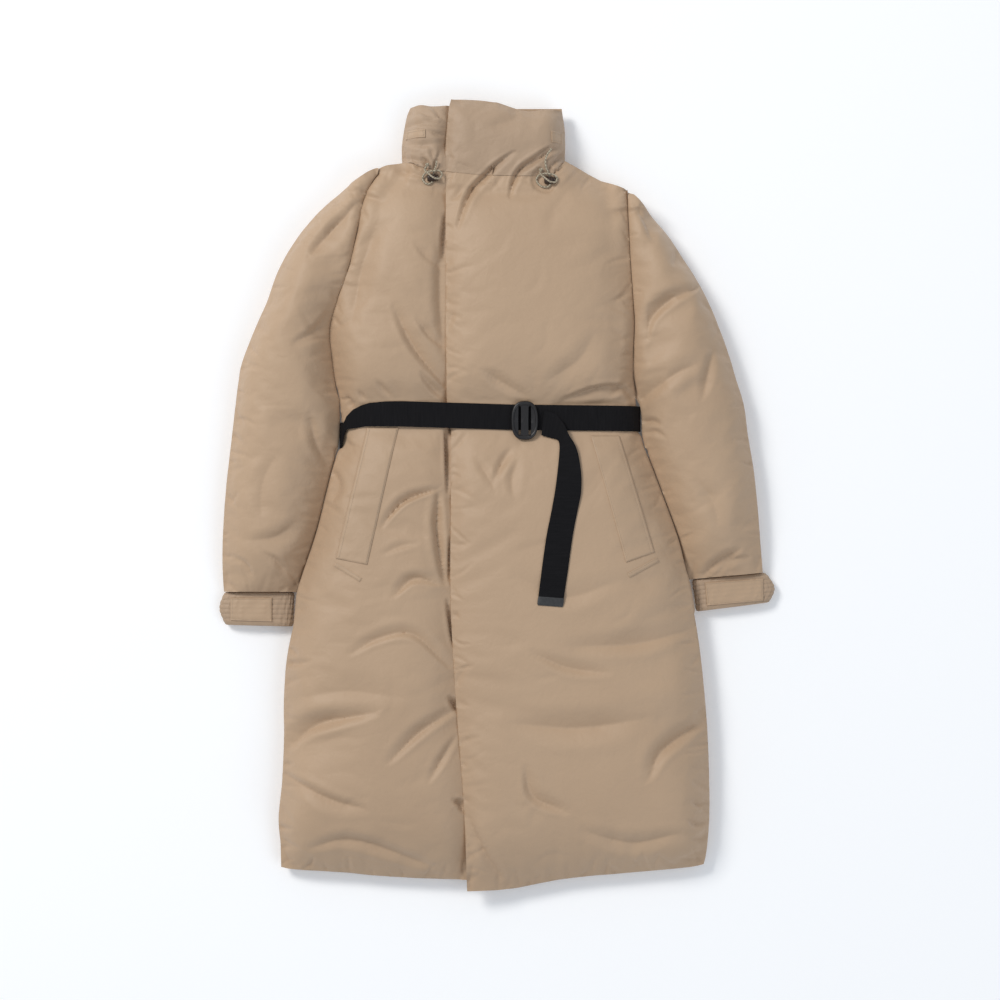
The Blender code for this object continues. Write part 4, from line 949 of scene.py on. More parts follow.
# ---------------------------------------------------------------- right front
# The wearer's right front, sewn to the back at the side and the shoulder.  Its placket edge runs
# on under the left front, and the cloth is drawn up where the belt and the flap hold it.
RIGHT_CREASES = (
    (((-0.153, 0.279), (-0.1245, 0.222), (-0.078, 0.165)), 0.0085, 0.0062, 0.35),
    (((-0.1185, 0.2625), (-0.100, 0.238), (-0.079, 0.222)), 0.0050, 0.0030, 0.2),
    (((-0.1125, 0.1815), (-0.100, 0.165), (-0.080, 0.145)), 0.0055, 0.0034, 0.2),
    (((-0.1815, 0.4005), (-0.205, 0.335), (-0.216, 0.2685)), 0.0150, 0.0050, 0.2),
    (((-0.147, 0.486), (-0.115, 0.478), (-0.078, 0.4695)), 0.0055, 0.0034, 0.2),
    (((-0.080, 0.3945), (-0.083, 0.310), (-0.080, 0.222)), 0.0075, 0.0042, -0.2),
    (((-0.226, 0.1500), (-0.219, 0.138), (-0.212, 0.129)), 0.0040, 0.0030, 0.0),
    (((-0.2065, 0.156), (-0.201, 0.148), (-0.196, 0.141)), 0.0035, 0.0022, 0.0),
    (((-0.180, 0.170), (-0.168, 0.156), (-0.158, 0.147)), 0.0045, 0.0026, 0.2),
    (((-0.1695, -0.045), (-0.1515, -0.021), (-0.1305, -0.0045), (-0.087, 0.0105)),
     0.0052, 0.0056, 0.35),
    (((-0.170, -0.086), (-0.142, -0.074), (-0.118, -0.070)), 0.0050, 0.0024, 0.1),
    (((-0.0760, 0.104), (-0.0735, 0.060), (-0.0730, 0.006)), 0.0042, 0.0080, 0.2),
    (((-0.0860, 0.004), (-0.0860, -0.050), (-0.0760, -0.128)), 0.0065, 0.0080, -0.2),
    (((-0.0770, 0.420), (-0.0770, 0.390), (-0.0775, 0.350)), 0.0045, 0.0060, 0.0),
    (((-0.153, -0.1485), (-0.1245, -0.1245), (-0.084, -0.1305)), 0.0065, 0.0048, 0.3),
    (((-0.216, -0.234), (-0.1755, -0.2115), (-0.1245, -0.2055), (-0.072, -0.252)),
     0.0070, 0.0046, 0.3),
    (((-0.3135, -0.252), (-0.297, -0.250), (-0.279, -0.246)), 0.0050, 0.0028, 0.0),
    (((-0.3135, -0.378), (-0.273, -0.3435), (-0.1815, -0.321)), 0.0110, 0.0074, 0.3),
    (((-0.159, -0.3945), (-0.115, -0.352), (-0.066, -0.321)), 0.0075, 0.0050, 0.3),
    (((-0.1005, -0.423), (-0.080, -0.390), (-0.0615, -0.360)), 0.0055, 0.0036, 0.2),
    (((-0.3165, -0.4185), (-0.2445, -0.453), (-0.198, -0.4635)), 0.0090, 0.0052, -0.2),
    (((-0.279, -0.5265), (-0.216, -0.516), (-0.1005, -0.555)), 0.0085, 0.0050, 0.2),
    (((-0.250, 0.040), (-0.238, 0.018), (-0.246, -0.010)), 0.0070, 0.0032, 0.0),
    (((-0.120, 0.372), (-0.100, 0.352), (-0.082, 0.340)), 0.0060, 0.0026, 0.2),
    (((-0.0705, -0.062), (-0.0690, -0.095), (-0.0695, -0.130)), 0.0040, 0.0060, 0.0),
    (((-0.0735, -0.155), (-0.0680, -0.185), (-0.0640, -0.222)), 0.0040, 0.0066, 0.0),
    (((-0.0700, -0.300), (-0.0610, -0.312), (-0.0570, -0.322)), 0.0050, 0.0066, 0.0),
    (((-0.0640, -0.452), (-0.0540, -0.458), (-0.0500, -0.470)), 0.0045, 0.0060, 0.0),
    (((-0.290, -0.300), (-0.225, -0.290), (-0.150, -0.298)), 0.0160, 0.0034, 0.2))
# Folds that run on over the neck seam, near the places where the cord comes out.
NECK_FOLDS = (
    (((0.0240, 0.5120), (0.0080, 0.5010), (-0.0165, 0.4800), (-0.0435, 0.4485), (-0.0590, 0.4020)),
     0.0050, 0.0066, 0.3),
    (((0.0800, 0.5210), (0.0560, 0.5040), (0.0345, 0.4875), (0.0240, 0.4700), (0.0185, 0.4470)),
     0.0046, 0.0066, 0.3),
    (((0.0930, 0.5240), (0.0740, 0.5090), (0.0560, 0.4980), (0.0400, 0.4860)), 0.0036, 0.0048, 0.2),
    (((0.0985, 0.5150), (0.0900, 0.5030), (0.0790, 0.4880), (0.0760, 0.4800)), 0.0034, 0.0036, 0.0),
    (((0.1000, 0.4960), (0.0930, 0.4890), (0.0850, 0.4820)), 0.0030, 0.0028, 0.0),
    (((-0.1130, 0.5060), (-0.1070, 0.4960), (-0.1020, 0.4840)), 0.0038, 0.0038, 0.2),
    (((-0.0860, 0.5120), (-0.0890, 0.5010), (-0.0930, 0.4880), (-0.0930, 0.4800)),
     0.0034, 0.0034, 0.0),
    (((-0.1240, 0.4960), (-0.1150, 0.4880), (-0.1040, 0.4790)), 0.0034, 0.0030, 0.1))


def front_panel(node, name, creases, seed, slack, strewn):
    """A down-filled front: filled, creased and puckered along its seams."""
    points, faces, top, on_rim = panel_net(node, above=0.0050, below=0.0130, ease=SHELL_EASING,
                                           belted=True)
    points = beside_belt(meeting(points, on_rim, SIDE_GAP, ARMHOLE_GAP), on_rim, BODY_BY_BELT)
    points = fill_out(points, top, LEVEL_SEAMS)
    ring = points[:np.count_nonzero(on_rim) // 2, :2].copy()
    free = (top & ~on_rim) * off_belt(points) * (1 - SEAM_HOLD * near_seams(points))
    points = filled(points, faces, free, PRESSURE, slack, SWELL_REACH, SWELL_KEPT)
    points, faces, top, on_rim = refined(points, faces, top, on_rim)
    neck = on_neck(points, on_rim & top)
    give = (top & (~on_rim | neck)) * (BELT_GIVE + (1 - BELT_GIVE) * off_belt(points))
    gathers = puckers(seed, ring, spacing=0.020, length=(0.012, 0.045), depth=(0.0006, 0.0022))
    points = creased(points, faces, give * ~neck, deepened(creases) + gathers + strewn)
    points = under_cords(creased(points, faces, give, deepened(NECK_FOLDS), neck), top)
    piece = piece_from(name, points, faces, SHELL_CLOTH, [node], sharp=62)
    return piece


below_belt = small_creases(22, 20, low=(-0.30, -0.54), high=(-0.09, 0.05), length=(0.04, 0.09),
                           depth=(0.0005, 0.0015), heading=25, spread=30)
above_belt = small_creases(23, 12, low=(-0.22, 0.16), high=(-0.09, 0.46), length=(0.04, 0.08),
                           depth=(0.0004, 0.0012), heading=-50, spread=25)
right_front = front_panel("front_right", "coat_front_right", RIGHT_CREASES, seed=21, slack=0.018,
                          strewn=below_belt + above_belt)


# ---------------------------------------------------------------- left front
# The wearer's left front laps over the right one: its flap has a clean folded edge, and long
# diagonal creases run from the collar's cord down towards the placket.
LEFT_CREASES = (
    (((-0.052, 0.462), (-0.060, 0.448), (-0.070, 0.440)), 0.0040, 0.0016, 0.0),
    (((0.099, 0.1435), (0.150, 0.158), (0.188, 0.161), (0.203, 0.150)), 0.0060, 0.0056, -0.2),
    (((0.170, 0.150), (0.181, 0.160), (0.196, 0.172)), 0.0040, 0.0026, 0.1),
    (((0.117, -0.2235), (0.205, -0.220), (0.2955, -0.1995)), 0.0120, 0.0050, 0.2),
    (((0.054, -0.234), (0.105, -0.255), (0.1635, -0.2625)), 0.0080, 0.0040, 0.2),
    (((0.0255, -0.3375), (0.120, -0.345), (0.2145, -0.3315)), 0.0170, 0.0066, 0.1),
    (((0.2265, -0.4185), (0.249, -0.378), (0.312, -0.3375)), 0.0100, 0.0066, 0.3),
    (((0.042, -0.4065), (0.054, -0.447), (0.1005, -0.4695)), 0.0085, 0.0048, 0.3),
    (((-0.0435, -0.4815), (-0.022, -0.530), (0.0075, -0.573)), 0.0080, 0.0046, 0.2),
    (((0.292, -0.456), (0.302, -0.462), (0.314, -0.460)), 0.0040, 0.0030, 0.0),
    (((0.286, -0.484), (0.300, -0.492), (0.315, -0.491)), 0.0045, 0.0034, 0.0),
    (((0.290, -0.512), (0.303, -0.516), (0.314, -0.514)), 0.0040, 0.0028, 0.0),
    (((0.020, 0.070), (0.008, 0.052), (-0.006, 0.020)), 0.0060, 0.0036, 0.2),
    (((0.030, 0.052), (0.022, 0.026), (0.024, 0.000)), 0.0075, 0.0030, 0.2),
    (((-0.030, 0.055), (-0.014, 0.030), (-0.004, 0.008)), 0.0060, 0.0024, 0.0),
    (((0.145, 0.240), (0.120, 0.200), (0.075, 0.170)), 0.0150, 0.0034, 0.2),
    (((-0.020, 0.185), (0.010, 0.165), (0.040, 0.150)), 0.0075, 0.0030, 0.2),
    (((0.030, -0.120), (0.100, -0.150), (0.170, -0.130)), 0.0140, 0.0036, 0.2),
    (((0.130, -0.500), (0.200, -0.520), (0.270, -0.505)), 0.0110, 0.0044, 0.1),
    (((0.255, 0.010), (0.262, -0.020), (0.274, -0.052)), 0.0050, 0.0024, 0.0))

below_belt = small_creases(32, 26, low=(-0.04, -0.56), high=(0.29, 0.04), length=(0.04, 0.10),
                           depth=(0.0005, 0.0015), heading=5, spread=30)
above_belt = small_creases(33, 12, low=(-0.05, 0.16), high=(0.18, 0.44), length=(0.04, 0.08),
                           depth=(0.0004, 0.0011), heading=40, spread=30)
left_front = front_panel("front_left", "coat_front_left", LEFT_CREASES, seed=31, slack=0.016,
                         strewn=below_belt + above_belt)


# ---------------------------------------------------------------- sleeves
# Each sleeve is a filled tube that lies flat beside the body: an upper and an under half that
# meet at the folds along its two edges, gathered where it is set into the armhole and the cuff.
SLEEVE_CREASES = {
    "sleeve_right_top": (
        (((-0.208, 0.438), (-0.240, 0.404), (-0.279, 0.360)), 0.0095, 0.0060, 0.3),
        (((-0.279, 0.1185), (-0.270, 0.085), (-0.2565, 0.0495)), 0.0100, 0.0048, 0.2),
        (((-0.255, 0.270), (-0.272, 0.245), (-0.300, 0.228)), 0.0070, 0.0030, 0.2),
        (((-0.330, 0.060), (-0.350, 0.020), (-0.352, -0.030)), 0.0130, 0.0030, 0.2),
        (((-0.300, -0.040), (-0.330, -0.062), (-0.372, -0.066)), 0.0110, 0.0034, 0.2),
        (((-0.318, -0.112), (-0.330, -0.096), (-0.346, -0.086)), 0.0055, 0.0030, 0.2),
        (((-0.368, -0.122), (-0.376, -0.104), (-0.392, -0.092)), 0.0050, 0.0026, 0.0)),
    "sleeve_left_top": (
        (((0.2235, 0.234), (0.2295, 0.264), (0.2565, 0.2895), (0.2955, 0.309)), 0.0080, 0.0058, 0.3),
        (((0.306, 0.147), (0.314, 0.175), (0.322, 0.215)), 0.0070, 0.0036, 0.2),
        (((0.2145, 0.144), (0.250, 0.172), (0.297, 0.1965)), 0.0120, 0.0048, 0.2),
        (((0.216, 0.110), (0.230, 0.112), (0.2445, 0.1065)), 0.0045, 0.0030, 0.0),
        (((0.222, 0.094), (0.236, 0.096), (0.250, 0.088)), 0.0045, 0.0026, 0.0),
        (((0.203, 0.440), (0.222, 0.412), (0.232, 0.380)), 0.0075, 0.0034, 0.2),
        (((0.312, -0.1190), (0.334, -0.100), (0.3645, -0.081)), 0.0060, 0.0046, 0.3),
        (((0.334, -0.112), (0.350, -0.098), (0.378, -0.092)), 0.0050, 0.0026, 0.0),
        (((0.300, 0.020), (0.322, -0.010), (0.330, -0.045)), 0.0130, 0.0032, 0.2)),
    "sleeve_right_under": (
        (((-0.230, 0.400), (-0.262, 0.372), (-0.300, 0.350)), 0.0100, 0.0026, 0.2),
        (((-0.270, 0.150), (-0.310, 0.120), (-0.350, 0.118)), 0.0100, 0.0026, 0.2),
        (((-0.310, -0.020), (-0.340, -0.046), (-0.380, -0.052)), 0.0090, 0.0024, 0.2)),
    "sleeve_left_under": (
        (((0.225, 0.380), (0.250, 0.352), (0.285, 0.330)), 0.0100, 0.0026, 0.2),
        (((0.240, 0.150), (0.285, 0.128), (0.330, 0.130)), 0.0100, 0.0026, 0.2),
        (((0.290, -0.010), (0.320, -0.034), (0.365, -0.040)), 0.0090, 0.0024, 0.2))}

for seed, (node, creases) in enumerate(SLEEVE_CREASES.items(), 41):
    upper_half = node.endswith("top")
    above, below = (0.0048, 0.0120) if upper_half else (0.0120, 0.0080)
    points, faces, top, on_rim = panel_net(node, above, below, SLEEVE_EASING)
    gaps = (SIDE_GAP, ARMHOLE_GAP) if upper_half else (0.0, 0.0)
    points = beside_belt(meeting(points, on_rim, *gaps), on_rim, SLEEVE_BY_BELT)
    if upper_half:
        points = fill_out(points, top, LEVEL_SEAMS)
    ring = points[:np.count_nonzero(on_rim) // 2, :2].copy()
    if upper_half:
        free = (top & ~on_rim) * (1 - SEAM_HOLD * near_seams(points))
        points = filled(points, faces, free, PRESSURE, 0.024, SWELL_REACH, SWELL_KEPT)
    points, faces, top, on_rim = refined(points, faces, top, on_rim)
    give = ((top if upper_half else ~top) & ~on_rim).astype(float)
    low, high = points[:, :2].min(axis=0), points[:, :2].max(axis=0)
    gathers = puckers(seed, ring, spacing=0.022, length=(0.012, 0.042), depth=(0.0006, 0.0022))
    strewn = small_creases(seed + 10, 14, low, high, length=(0.03, 0.07), depth=(0.0005, 0.0014),
                           heading=-35 if "right" in node else 35, spread=25)
    points = creased(points, faces, give, deepened(creases) + gathers + strewn)
    points[:, 2] = points[:, 2].clip(0.0)
    half = piece_from("coat_" + node, points, faces, SHELL_CLOTH, [node], sharp=62)


# ---------------------------------------------------------------- stand collar
# A high collar in three lengths, thinner and firmer than the body.  Its cord pulls it in at the
# neck seam, so creases run down from the upper edge towards the places where the cord comes out.
COLLAR_LIGHT = (0.440, 0.310, 0.206)
COLLAR_DARK = (0.400, 0.278, 0.183)
COLLAR_CLOTH = cloth_finish("tan_collar_cloth", COLLAR_LIGHT, COLLAR_DARK, 0.36)
COLLAR_CREASES = {
    "collar_back": (
        (((-0.100, 0.560), (-0.020, 0.550), (0.060, 0.562)), 0.0060, 0.0016, 0.0),
        (((-0.080, 0.520), (-0.010, 0.512), (0.070, 0.522)), 0.0060, 0.0016, 0.0)),
    "collar_right": (
        (((-0.1385, 0.5530), (-0.112, 0.5560), (-0.080, 0.5500)), 0.0045, 0.0028, 0.2),
        (((-0.118, 0.574), (-0.100, 0.568), (-0.082, 0.566)), 0.0045, 0.0034, 0.0),
        (((-0.112, 0.562), (-0.094, 0.560), (-0.079, 0.556)), 0.0035, 0.0034, 0.1),
        (((-0.098, 0.580), (-0.088, 0.572), (-0.079, 0.561)), 0.0030, 0.0028, 0.0),
        (((-0.100, 0.545), (-0.090, 0.540), (-0.078, 0.539)), 0.0032, 0.0026, 0.0),
        (((-0.136, 0.5270), (-0.112, 0.5230), (-0.086, 0.5260)), 0.0045, 0.0022, 0.1),
        (((-0.141, 0.5060), (-0.118, 0.5000), (-0.104, 0.4960)), 0.0040, 0.0028, 0.0),
        (((-0.100, 0.5200), (-0.096, 0.5090), (-0.094, 0.4980)), 0.0035, 0.0022, 0.0)),
    "collar_left": (
        (((0.0340, 0.5730), (0.0180, 0.5600), (-0.0100, 0.5520)), 0.0100, 0.0022, 0.2),
        (((-0.0600, 0.4960), (-0.0520, 0.4900), (-0.0380, 0.4880)), 0.0045, 0.0014, 0.0))}

for seed, (node, creases) in enumerate(COLLAR_CREASES.items(), 61):
    at_front = node != "collar_back"
    points, faces, top, on_rim = panel_net(node, above=0.0040, below=0.0070, ease=18)
    if at_front:
        points = fill_out(drawn_to(points, on_rim, NECK_SEAM, NECK_GAP), top, LEVEL_SEAMS)
    ring = points[:np.count_nonzero(on_rim) // 2, :2].copy()
    if at_front:
        free = (top & ~on_rim) * (1 - SEAM_HOLD * near_seams(points))
        points = filled(points, faces, free, pressure=3.0, slack=0.016, reach=0.0060, low_share=0.3)
    points, faces, top, on_rim = refined(points, faces, top, on_rim)
    give = ((top if at_front else ~top) & ~on_rim).astype(float)
    gathers = puckers(seed, ring, spacing=0.016, length=(0.010, 0.026), depth=(0.0003, 0.0012))
    points = creased(points, faces, give, deepened(creases) + gathers)
    if at_front:
        neck = on_neck(points, on_rim & top)
        give = (top & (~on_rim | neck)).astype(float)
        points = creased(points, faces, give, deepened(NECK_FOLDS), neck)
    points = under_cords(points, top)
    points[:, 2] = points[:, 2].clip(0.0)
    piece = piece_from("coat_" + node, points, faces, COLLAR_CLOTH, [node],
                       sharp=62)


# ---------------------------------------------------------------- cuffs
# A firm band in the round, sewn to the sleeve's end.  Both layers are run through with rows of
# topstitching, so the band is ribbed; its lower edge is folded in.
CUFF_ENDS = {                      # outer and inner end at the seam, the middle and the open edge
    "right": (((-0.4125, -0.1452), (-0.3065, -0.1452)), ((-0.4195, -0.1700), (-0.3070, -0.1705)),
              ((-0.4110, -0.1940), (-0.3080, -0.1965))),
    "left": (((0.4060, -0.1157), (0.2945, -0.1262)), ((0.4195, -0.1380), (0.2980, -0.1500)),
             ((0.4120, -0.1600), (0.3010, -0.1740)))}
CUFF_HEIGHT = 0.0208
CUFF_WALL = 0.0075
CUFF_ROWS = 7
CUFF_FIRST_ROW = 0.07
ROW_GROOVE = 0.00085
ROW_HALF = 0.0011
AROUND = 132
DOWN_THE_BAND = 46


def thread_finish():
    """Tan polyester sewing thread, a little lighter than the cloth and slightly glossy, with painted
    shade in bands along its twist.
    """
    material, tree, shader = finish_of("tan_thread")
    place = tree.nodes.new("ShaderNodeTexCoord").outputs["Object"]
    twist = wave_of(tree, place, "DIAGONAL", 900.0)
    # The darker bands along the twist are painted shade between the thread's plies.
    tinted(tree, shader, twist.outputs["Fac"], (0.36, 0.27, 0.18), (0.50, 0.38, 0.27), 0.2, 0.8)
    shader.inputs["Roughness"].default_value = 0.45
    return material


THREAD = thread_finish()
THREAD_RADIUS = 0.00030
STITCH = 0.0030


def stitches(line, outward, radius=THREAD_RADIUS, pitch=STITCH):
    """Points and faces of a row of stitches along a line of surface points."""
    gone = gone_along(line)
    points, faces = [], []
    for k in range(int(gone[-1] / pitch)):
        marks = (k + np.array((0.10, 0.30, 0.70, 0.90))) * pitch
        bed = read_off(marks, gone, line)
        out = read_off(marks, gone, outward)
        rise = np.array((-0.4, 0.55, 0.55, -0.4))[:, None] * radius
        taper = radius * np.array((0.5, 1.0, 1.0, 0.5))
        add_shell(points, faces, *tube_rings(bed + out * rise, taper, 5))
    return points, faces


def sewn(name, rows, slot):
    """All the stitch rows of one piece as one mesh; rows are (line, outward) pairs."""
    points, faces = [], []
    for line, outward in rows:
        add_shell(points, faces, *stitches(np.array(line), np.array(outward)))
    points = np.array(points)
    points[:, 2] = points[:, 2].clip(0.0)
    return piece_from(name, points, faces, THREAD)


def flattened(angle, outer, inner, height, inset):
    """Points round a pressed tube between its two ends, inset by part of its wall."""
    middle = (outer + inner) / 2
    half = (outer - inner) / 2
    reach = np.linalg.norm(half)
    width = np.sign(np.cos(angle)) * np.abs(np.cos(angle)) ** 0.62 * (reach - inset)
    tall = np.sign(np.sin(angle)) * np.abs(np.sin(angle)) ** 0.80 * (height / 2 - inset)
    flat = middle[None] + (half / reach)[None] * width[:, None]
    return np.column_stack([flat, height / 2 + tall])


def cuff_band(side):
    """The band's points: down its outer skin, round the open edge and up its inner skin."""
    ends = np.array([[*outer, *inner] for outer, inner in CUFF_ENDS[side]])
    line = curve_through(ends, 0.002)
    marks = np.linspace(0, len(line) - 1, DOWN_THE_BAND)
    ends = read_off(marks, np.arange(len(line)), line)
    length = length_of((ends[:, :2] + ends[:, 2:]) / 2)
    angle = np.linspace(0, 2 * math.pi, AROUND, endpoint=False)
    turn = 1 if side == "right" else -1
    rows, seams = [], []
    row_at = [CUFF_FIRST_ROW + (1 - CUFF_FIRST_ROW - 0.05) * k / (CUFF_ROWS - 1)
              for k in range(CUFF_ROWS)]
    for i, (ox, oy, ix, iy) in enumerate(ends):
        share = i / (DOWN_THE_BAND - 1)
        groove = sum(math.exp(-((share - at) * length / ROW_HALF) ** 2) for at in row_at)
        tuck = 0.0030 * max(0.0, 1 - share * length / 0.004) ** 2
        hem = 0.0016 * max(0.0, 1 - (1 - share) * length / 0.003) ** 2
        ripple = 0.00030 * np.sin(angle * 23 * turn + 9 * share) + 0.00025 * np.sin(angle * 41)
        inset = ROW_GROOVE * groove + tuck + hem + ripple
        rows.append(flattened(angle, np.array((ox, oy)), np.array((ix, iy)), CUFF_HEIGHT, inset))
    for at in row_at:
        i = at * (DOWN_THE_BAND - 1)
        low, part = int(i), i - int(i)
        seams.append(rows[low] * (1 - part) + rows[low + 1] * part)
    lip = ends[-1] + (ends[-1] - ends[-2])
    for inset, along in ((0.0030, 0.5), (0.0048, 0.5), (0.0066, 0.2)):
        edge = ends[-1] + (lip - ends[-1]) * along
        rows.append(flattened(angle, edge[:2], edge[2:], CUFF_HEIGHT, inset))
    for i in range(DOWN_THE_BAND - 2, -1, -5):
        rows.append(flattened(angle, ends[i][:2], ends[i][2:], CUFF_HEIGHT, CUFF_WALL))
    rows.append(flattened(angle, ends[0][:2], ends[0][2:], CUFF_HEIGHT, 0.0045))
    return rows, seams


for side in ("right", "left"):
    rows, seams = cuff_band(side)
    count = len(rows)
    faces = grid_faces(count, AROUND, closed=True)
    faces += [((count - 1) * AROUND + c, (count - 1) * AROUND + (c + 1) % AROUND,
               (c + 1) % AROUND, c) for c in range(AROUND)]
    if side == "left":
        faces = [f[::-1] for f in faces]
    points = np.concatenate(rows)
    points[:, 2] = points[:, 2].clip(0.0)
    band = piece_from("coat_cuff_" + side, points, faces, COLLAR_CLOTH,
                      ["cuff_" + side], sharp=70)
    lines = []
    for seam in seams:
        ring = np.vstack([seam, seam[:1]])
        outward = ring - np.array([*ring[:, :2].mean(axis=0), CUFF_HEIGHT / 2])
        outward[:, :2] *= 0.2
        outward /= np.linalg.norm(outward, axis=1)[:, None]
        lines.append((ring, outward))
    sewn("cuff_stitching_" + side, lines, "trim_cloth")


# ---------------------------------------------------------------- pocket welts and bars
# Each slanted pocket has a folded welt of shell cloth, edge-stitched on both long sides, and
# its lower end is held by a bar with two rows of stitching.
Trim = namedtuple("Trim", "outer_top inner_top outer_bottom inner_bottom")
WELTS = {"right": Trim((-0.1945, 0.1020), (-0.1470, 0.1020), (-0.2400, -0.0930),
                       (-0.1925, -0.1020)),
         "left": Trim((0.1830, 0.0900), (0.1400, 0.0900), (0.2345, -0.0835), (0.1915, -0.0985))}
BARS = {"right": Trim((-0.2400, -0.0985), (-0.2000, -0.1215), (-0.2435, -0.1045),
                      (-0.2035, -0.1275)),
        "left": Trim((0.2380, -0.0910), (0.1930, -0.1150), (0.2415, -0.0975), (0.1965, -0.1215))}
TRIM_LIGHT = (0.480, 0.334, 0.215)
TRIM_DARK = (0.436, 0.300, 0.191)
TRIM_CLOTH = cloth_finish("tan_trim_cloth", TRIM_LIGHT, TRIM_DARK, 0.25)
ABOVE_CLOTH = 0.0003
SEAM_MARKS = 40
STITCH_GROOVE = 0.00040


def surface_under(tree, places, rounds):
    """Height of the cloth under a grid of places[row][column], evened out by a strap's stiffness."""
    rows, columns = places.shape[:2]
    raw = np.zeros((rows, columns))
    for r in range(rows):
        for c in range(columns):
            hit = tree.ray_cast(Vector((*places[r, c], 1.0)), Vector((0, 0, -1)))[0]
            raw[r, c] = hit.z if hit else np.nan
    raw = np.where(np.isnan(raw), np.nanmean(raw), raw)
    even = raw.copy()
    for _ in range(rounds):
        wide = np.pad(even, 1, mode="edge")
        even = (wide[1:-1, 1:-1] * 4 + wide[:-2, 1:-1] + wide[2:, 1:-1] + wide[1:-1, :-2]
                + wide[1:-1, 2:]) / 8
    return np.maximum(even, raw)


def flat_places(trim, rows, columns):
    """A grid of places over a trim's outline, from its upper end down."""
    corners = np.array(trim)
    down = np.linspace(0, 1, rows)[:, None, None]
    across = np.linspace(0, 1, columns)[None, :, None]
    upper = corners[0] * (1 - across) + corners[1] * across
    lower = corners[2] * (1 - across) + corners[3] * across
    return upper * (1 - down) + lower * down


def edge_room(places):
    """Distance of each place to the trim's two long edges and its two ends."""
    rows, columns = places.shape[:2]
    widths = np.linalg.norm(places[:, -1] - places[:, 0], axis=1)
    lengths = np.linalg.norm(places[-1] - places[0], axis=1)
    across = np.linspace(0, 1, columns)[None, :] * widths[:, None]
    down = np.linspace(0, 1, rows)[:, None] * lengths[None, :]
    return across, widths[:, None] - across, down, lengths[None, :] - down


def slab_of(places, lower, upper):
    """Points and faces of a closed slab between two height fields on a grid of places."""
    rows, columns = places.shape[:2]
    flat = places.reshape(-1, 2)
    points = np.concatenate([np.column_stack([flat, upper.ravel()]),
                             np.column_stack([flat, lower.ravel()])])
    base = rows * columns
    top = grid_faces(rows, columns, closed=False)
    a, b, c = points[list(top[0][:3])]
    turned = np.cross(b - a, c - a)[2] < 0
    faces = list(top) + [tuple(i + base for i in f[::-1]) for f in top]
    border = (list(range(columns)) + [r * columns + columns - 1 for r in range(1, rows)]
              + [(rows - 1) * columns + c for c in range(columns - 2, -1, -1)]
              + [r * columns for r in range(rows - 2, 0, -1)])
    for a, b in zip(border, border[1:] + border[:1]):
        faces.append((b, a, a + base, b + base))
    return points, [f[::-1] for f in faces] if turned else faces


def between(grid, row, column):
    """A grid's value at a place between its rows and columns."""
    i, j = min(int(row), grid.shape[0] - 2), min(int(column), grid.shape[1] - 2)
    u, v = row - i, column - j
    return ((1 - u) * ((1 - v) * grid[i, j] + v * grid[i, j + 1])
            + u * ((1 - v) * grid[i + 1, j] + v * grid[i + 1, j + 1]))


def folded_trim(name, trim, tree, thick, grain, seams, paint, slot, node, stiff=10):
    """A flat folded trim laid on the cloth, with grooves and stitches along its seams.

    seams are (from which edge, how far in, start, end): edge 0 is the outer one, 1 the inner
    one, 2 the upper end and 3 the lower end."""
    width = np.linalg.norm(np.subtract(trim.inner_top, trim.outer_top))
    length = np.linalg.norm(np.subtract(trim.outer_bottom, trim.outer_top))
    rows, columns = max(6, int(length / grain)), max(6, int(width / grain))
    places = flat_places(trim, rows, columns)
    below = surface_under(tree, places, stiff)
    room = edge_room(places)
    nearest = np.minimum.reduce(room)
    roll = np.sqrt(1 - (1 - np.clip(nearest / (1.1 * thick), 0, 1)) ** 2)
    upper = below + ABOVE_CLOTH + thick * (0.30 + 0.70 * roll)
    for edge, inset, _, _ in seams:
        upper -= STITCH_GROOVE * np.exp(-((room[edge] - inset) / 0.0008) ** 2)
    points, faces = slab_of(places, below + ABOVE_CLOTH * 0.5, upper)
    piece = piece_from(name, points, faces, paint, [node], sharp=50)
    lines = []
    for edge, inset, start, end in seams:
        marks = np.linspace(start, end, SEAM_MARKS)
        share = inset / (width if edge < 2 else length)
        share = share if edge in (0, 2) else 1 - share
        inward = np.full(SEAM_MARKS, share)
        r, c = (marks, inward) if edge < 2 else (inward, marks)
        r, c = r * (rows - 1), c * (columns - 1)
        line = [(*between(places, *at), between(upper, *at)) for at in zip(r, c)]
        lines.append((line, [(0.0, 0.0, 1.0)] * SEAM_MARKS))
    shape = np.dstack([places, below])
    cut = [float(np.linalg.norm(np.diff(shape, axis=a), axis=2).sum(axis=a).mean())
           for a in (1, 0)]
    return piece, sewn(name + "_stitching", lines, slot), cut


WELT_THICK = 0.0024
BAR_THICK = 0.0013
fronts = {"right": right_front, "left": left_front}
for side, front in fronts.items():
    tree = tree_of(front)
    welt, thread, size = folded_trim(
        "pocket_welt_" + side + "_cloth", WELTS[side], tree, WELT_THICK, 0.0016,
        ((0, 0.0050, 0.01, 0.99), (1, 0.0022, 0.01, 0.99)), TRIM_CLOTH, "trim_cloth",
        "pocket_welt_" + side)
    bar, bar_thread, _ = folded_trim(
        "pocket_bar_" + side + "_cloth", BARS[side], tree, BAR_THICK, 0.0009,
        ((2, 0.0015, 0.02, 0.98), (3, 0.0015, 0.02, 0.98)), TRIM_CLOTH, "trim_cloth",
        "pocket_bar_" + side)


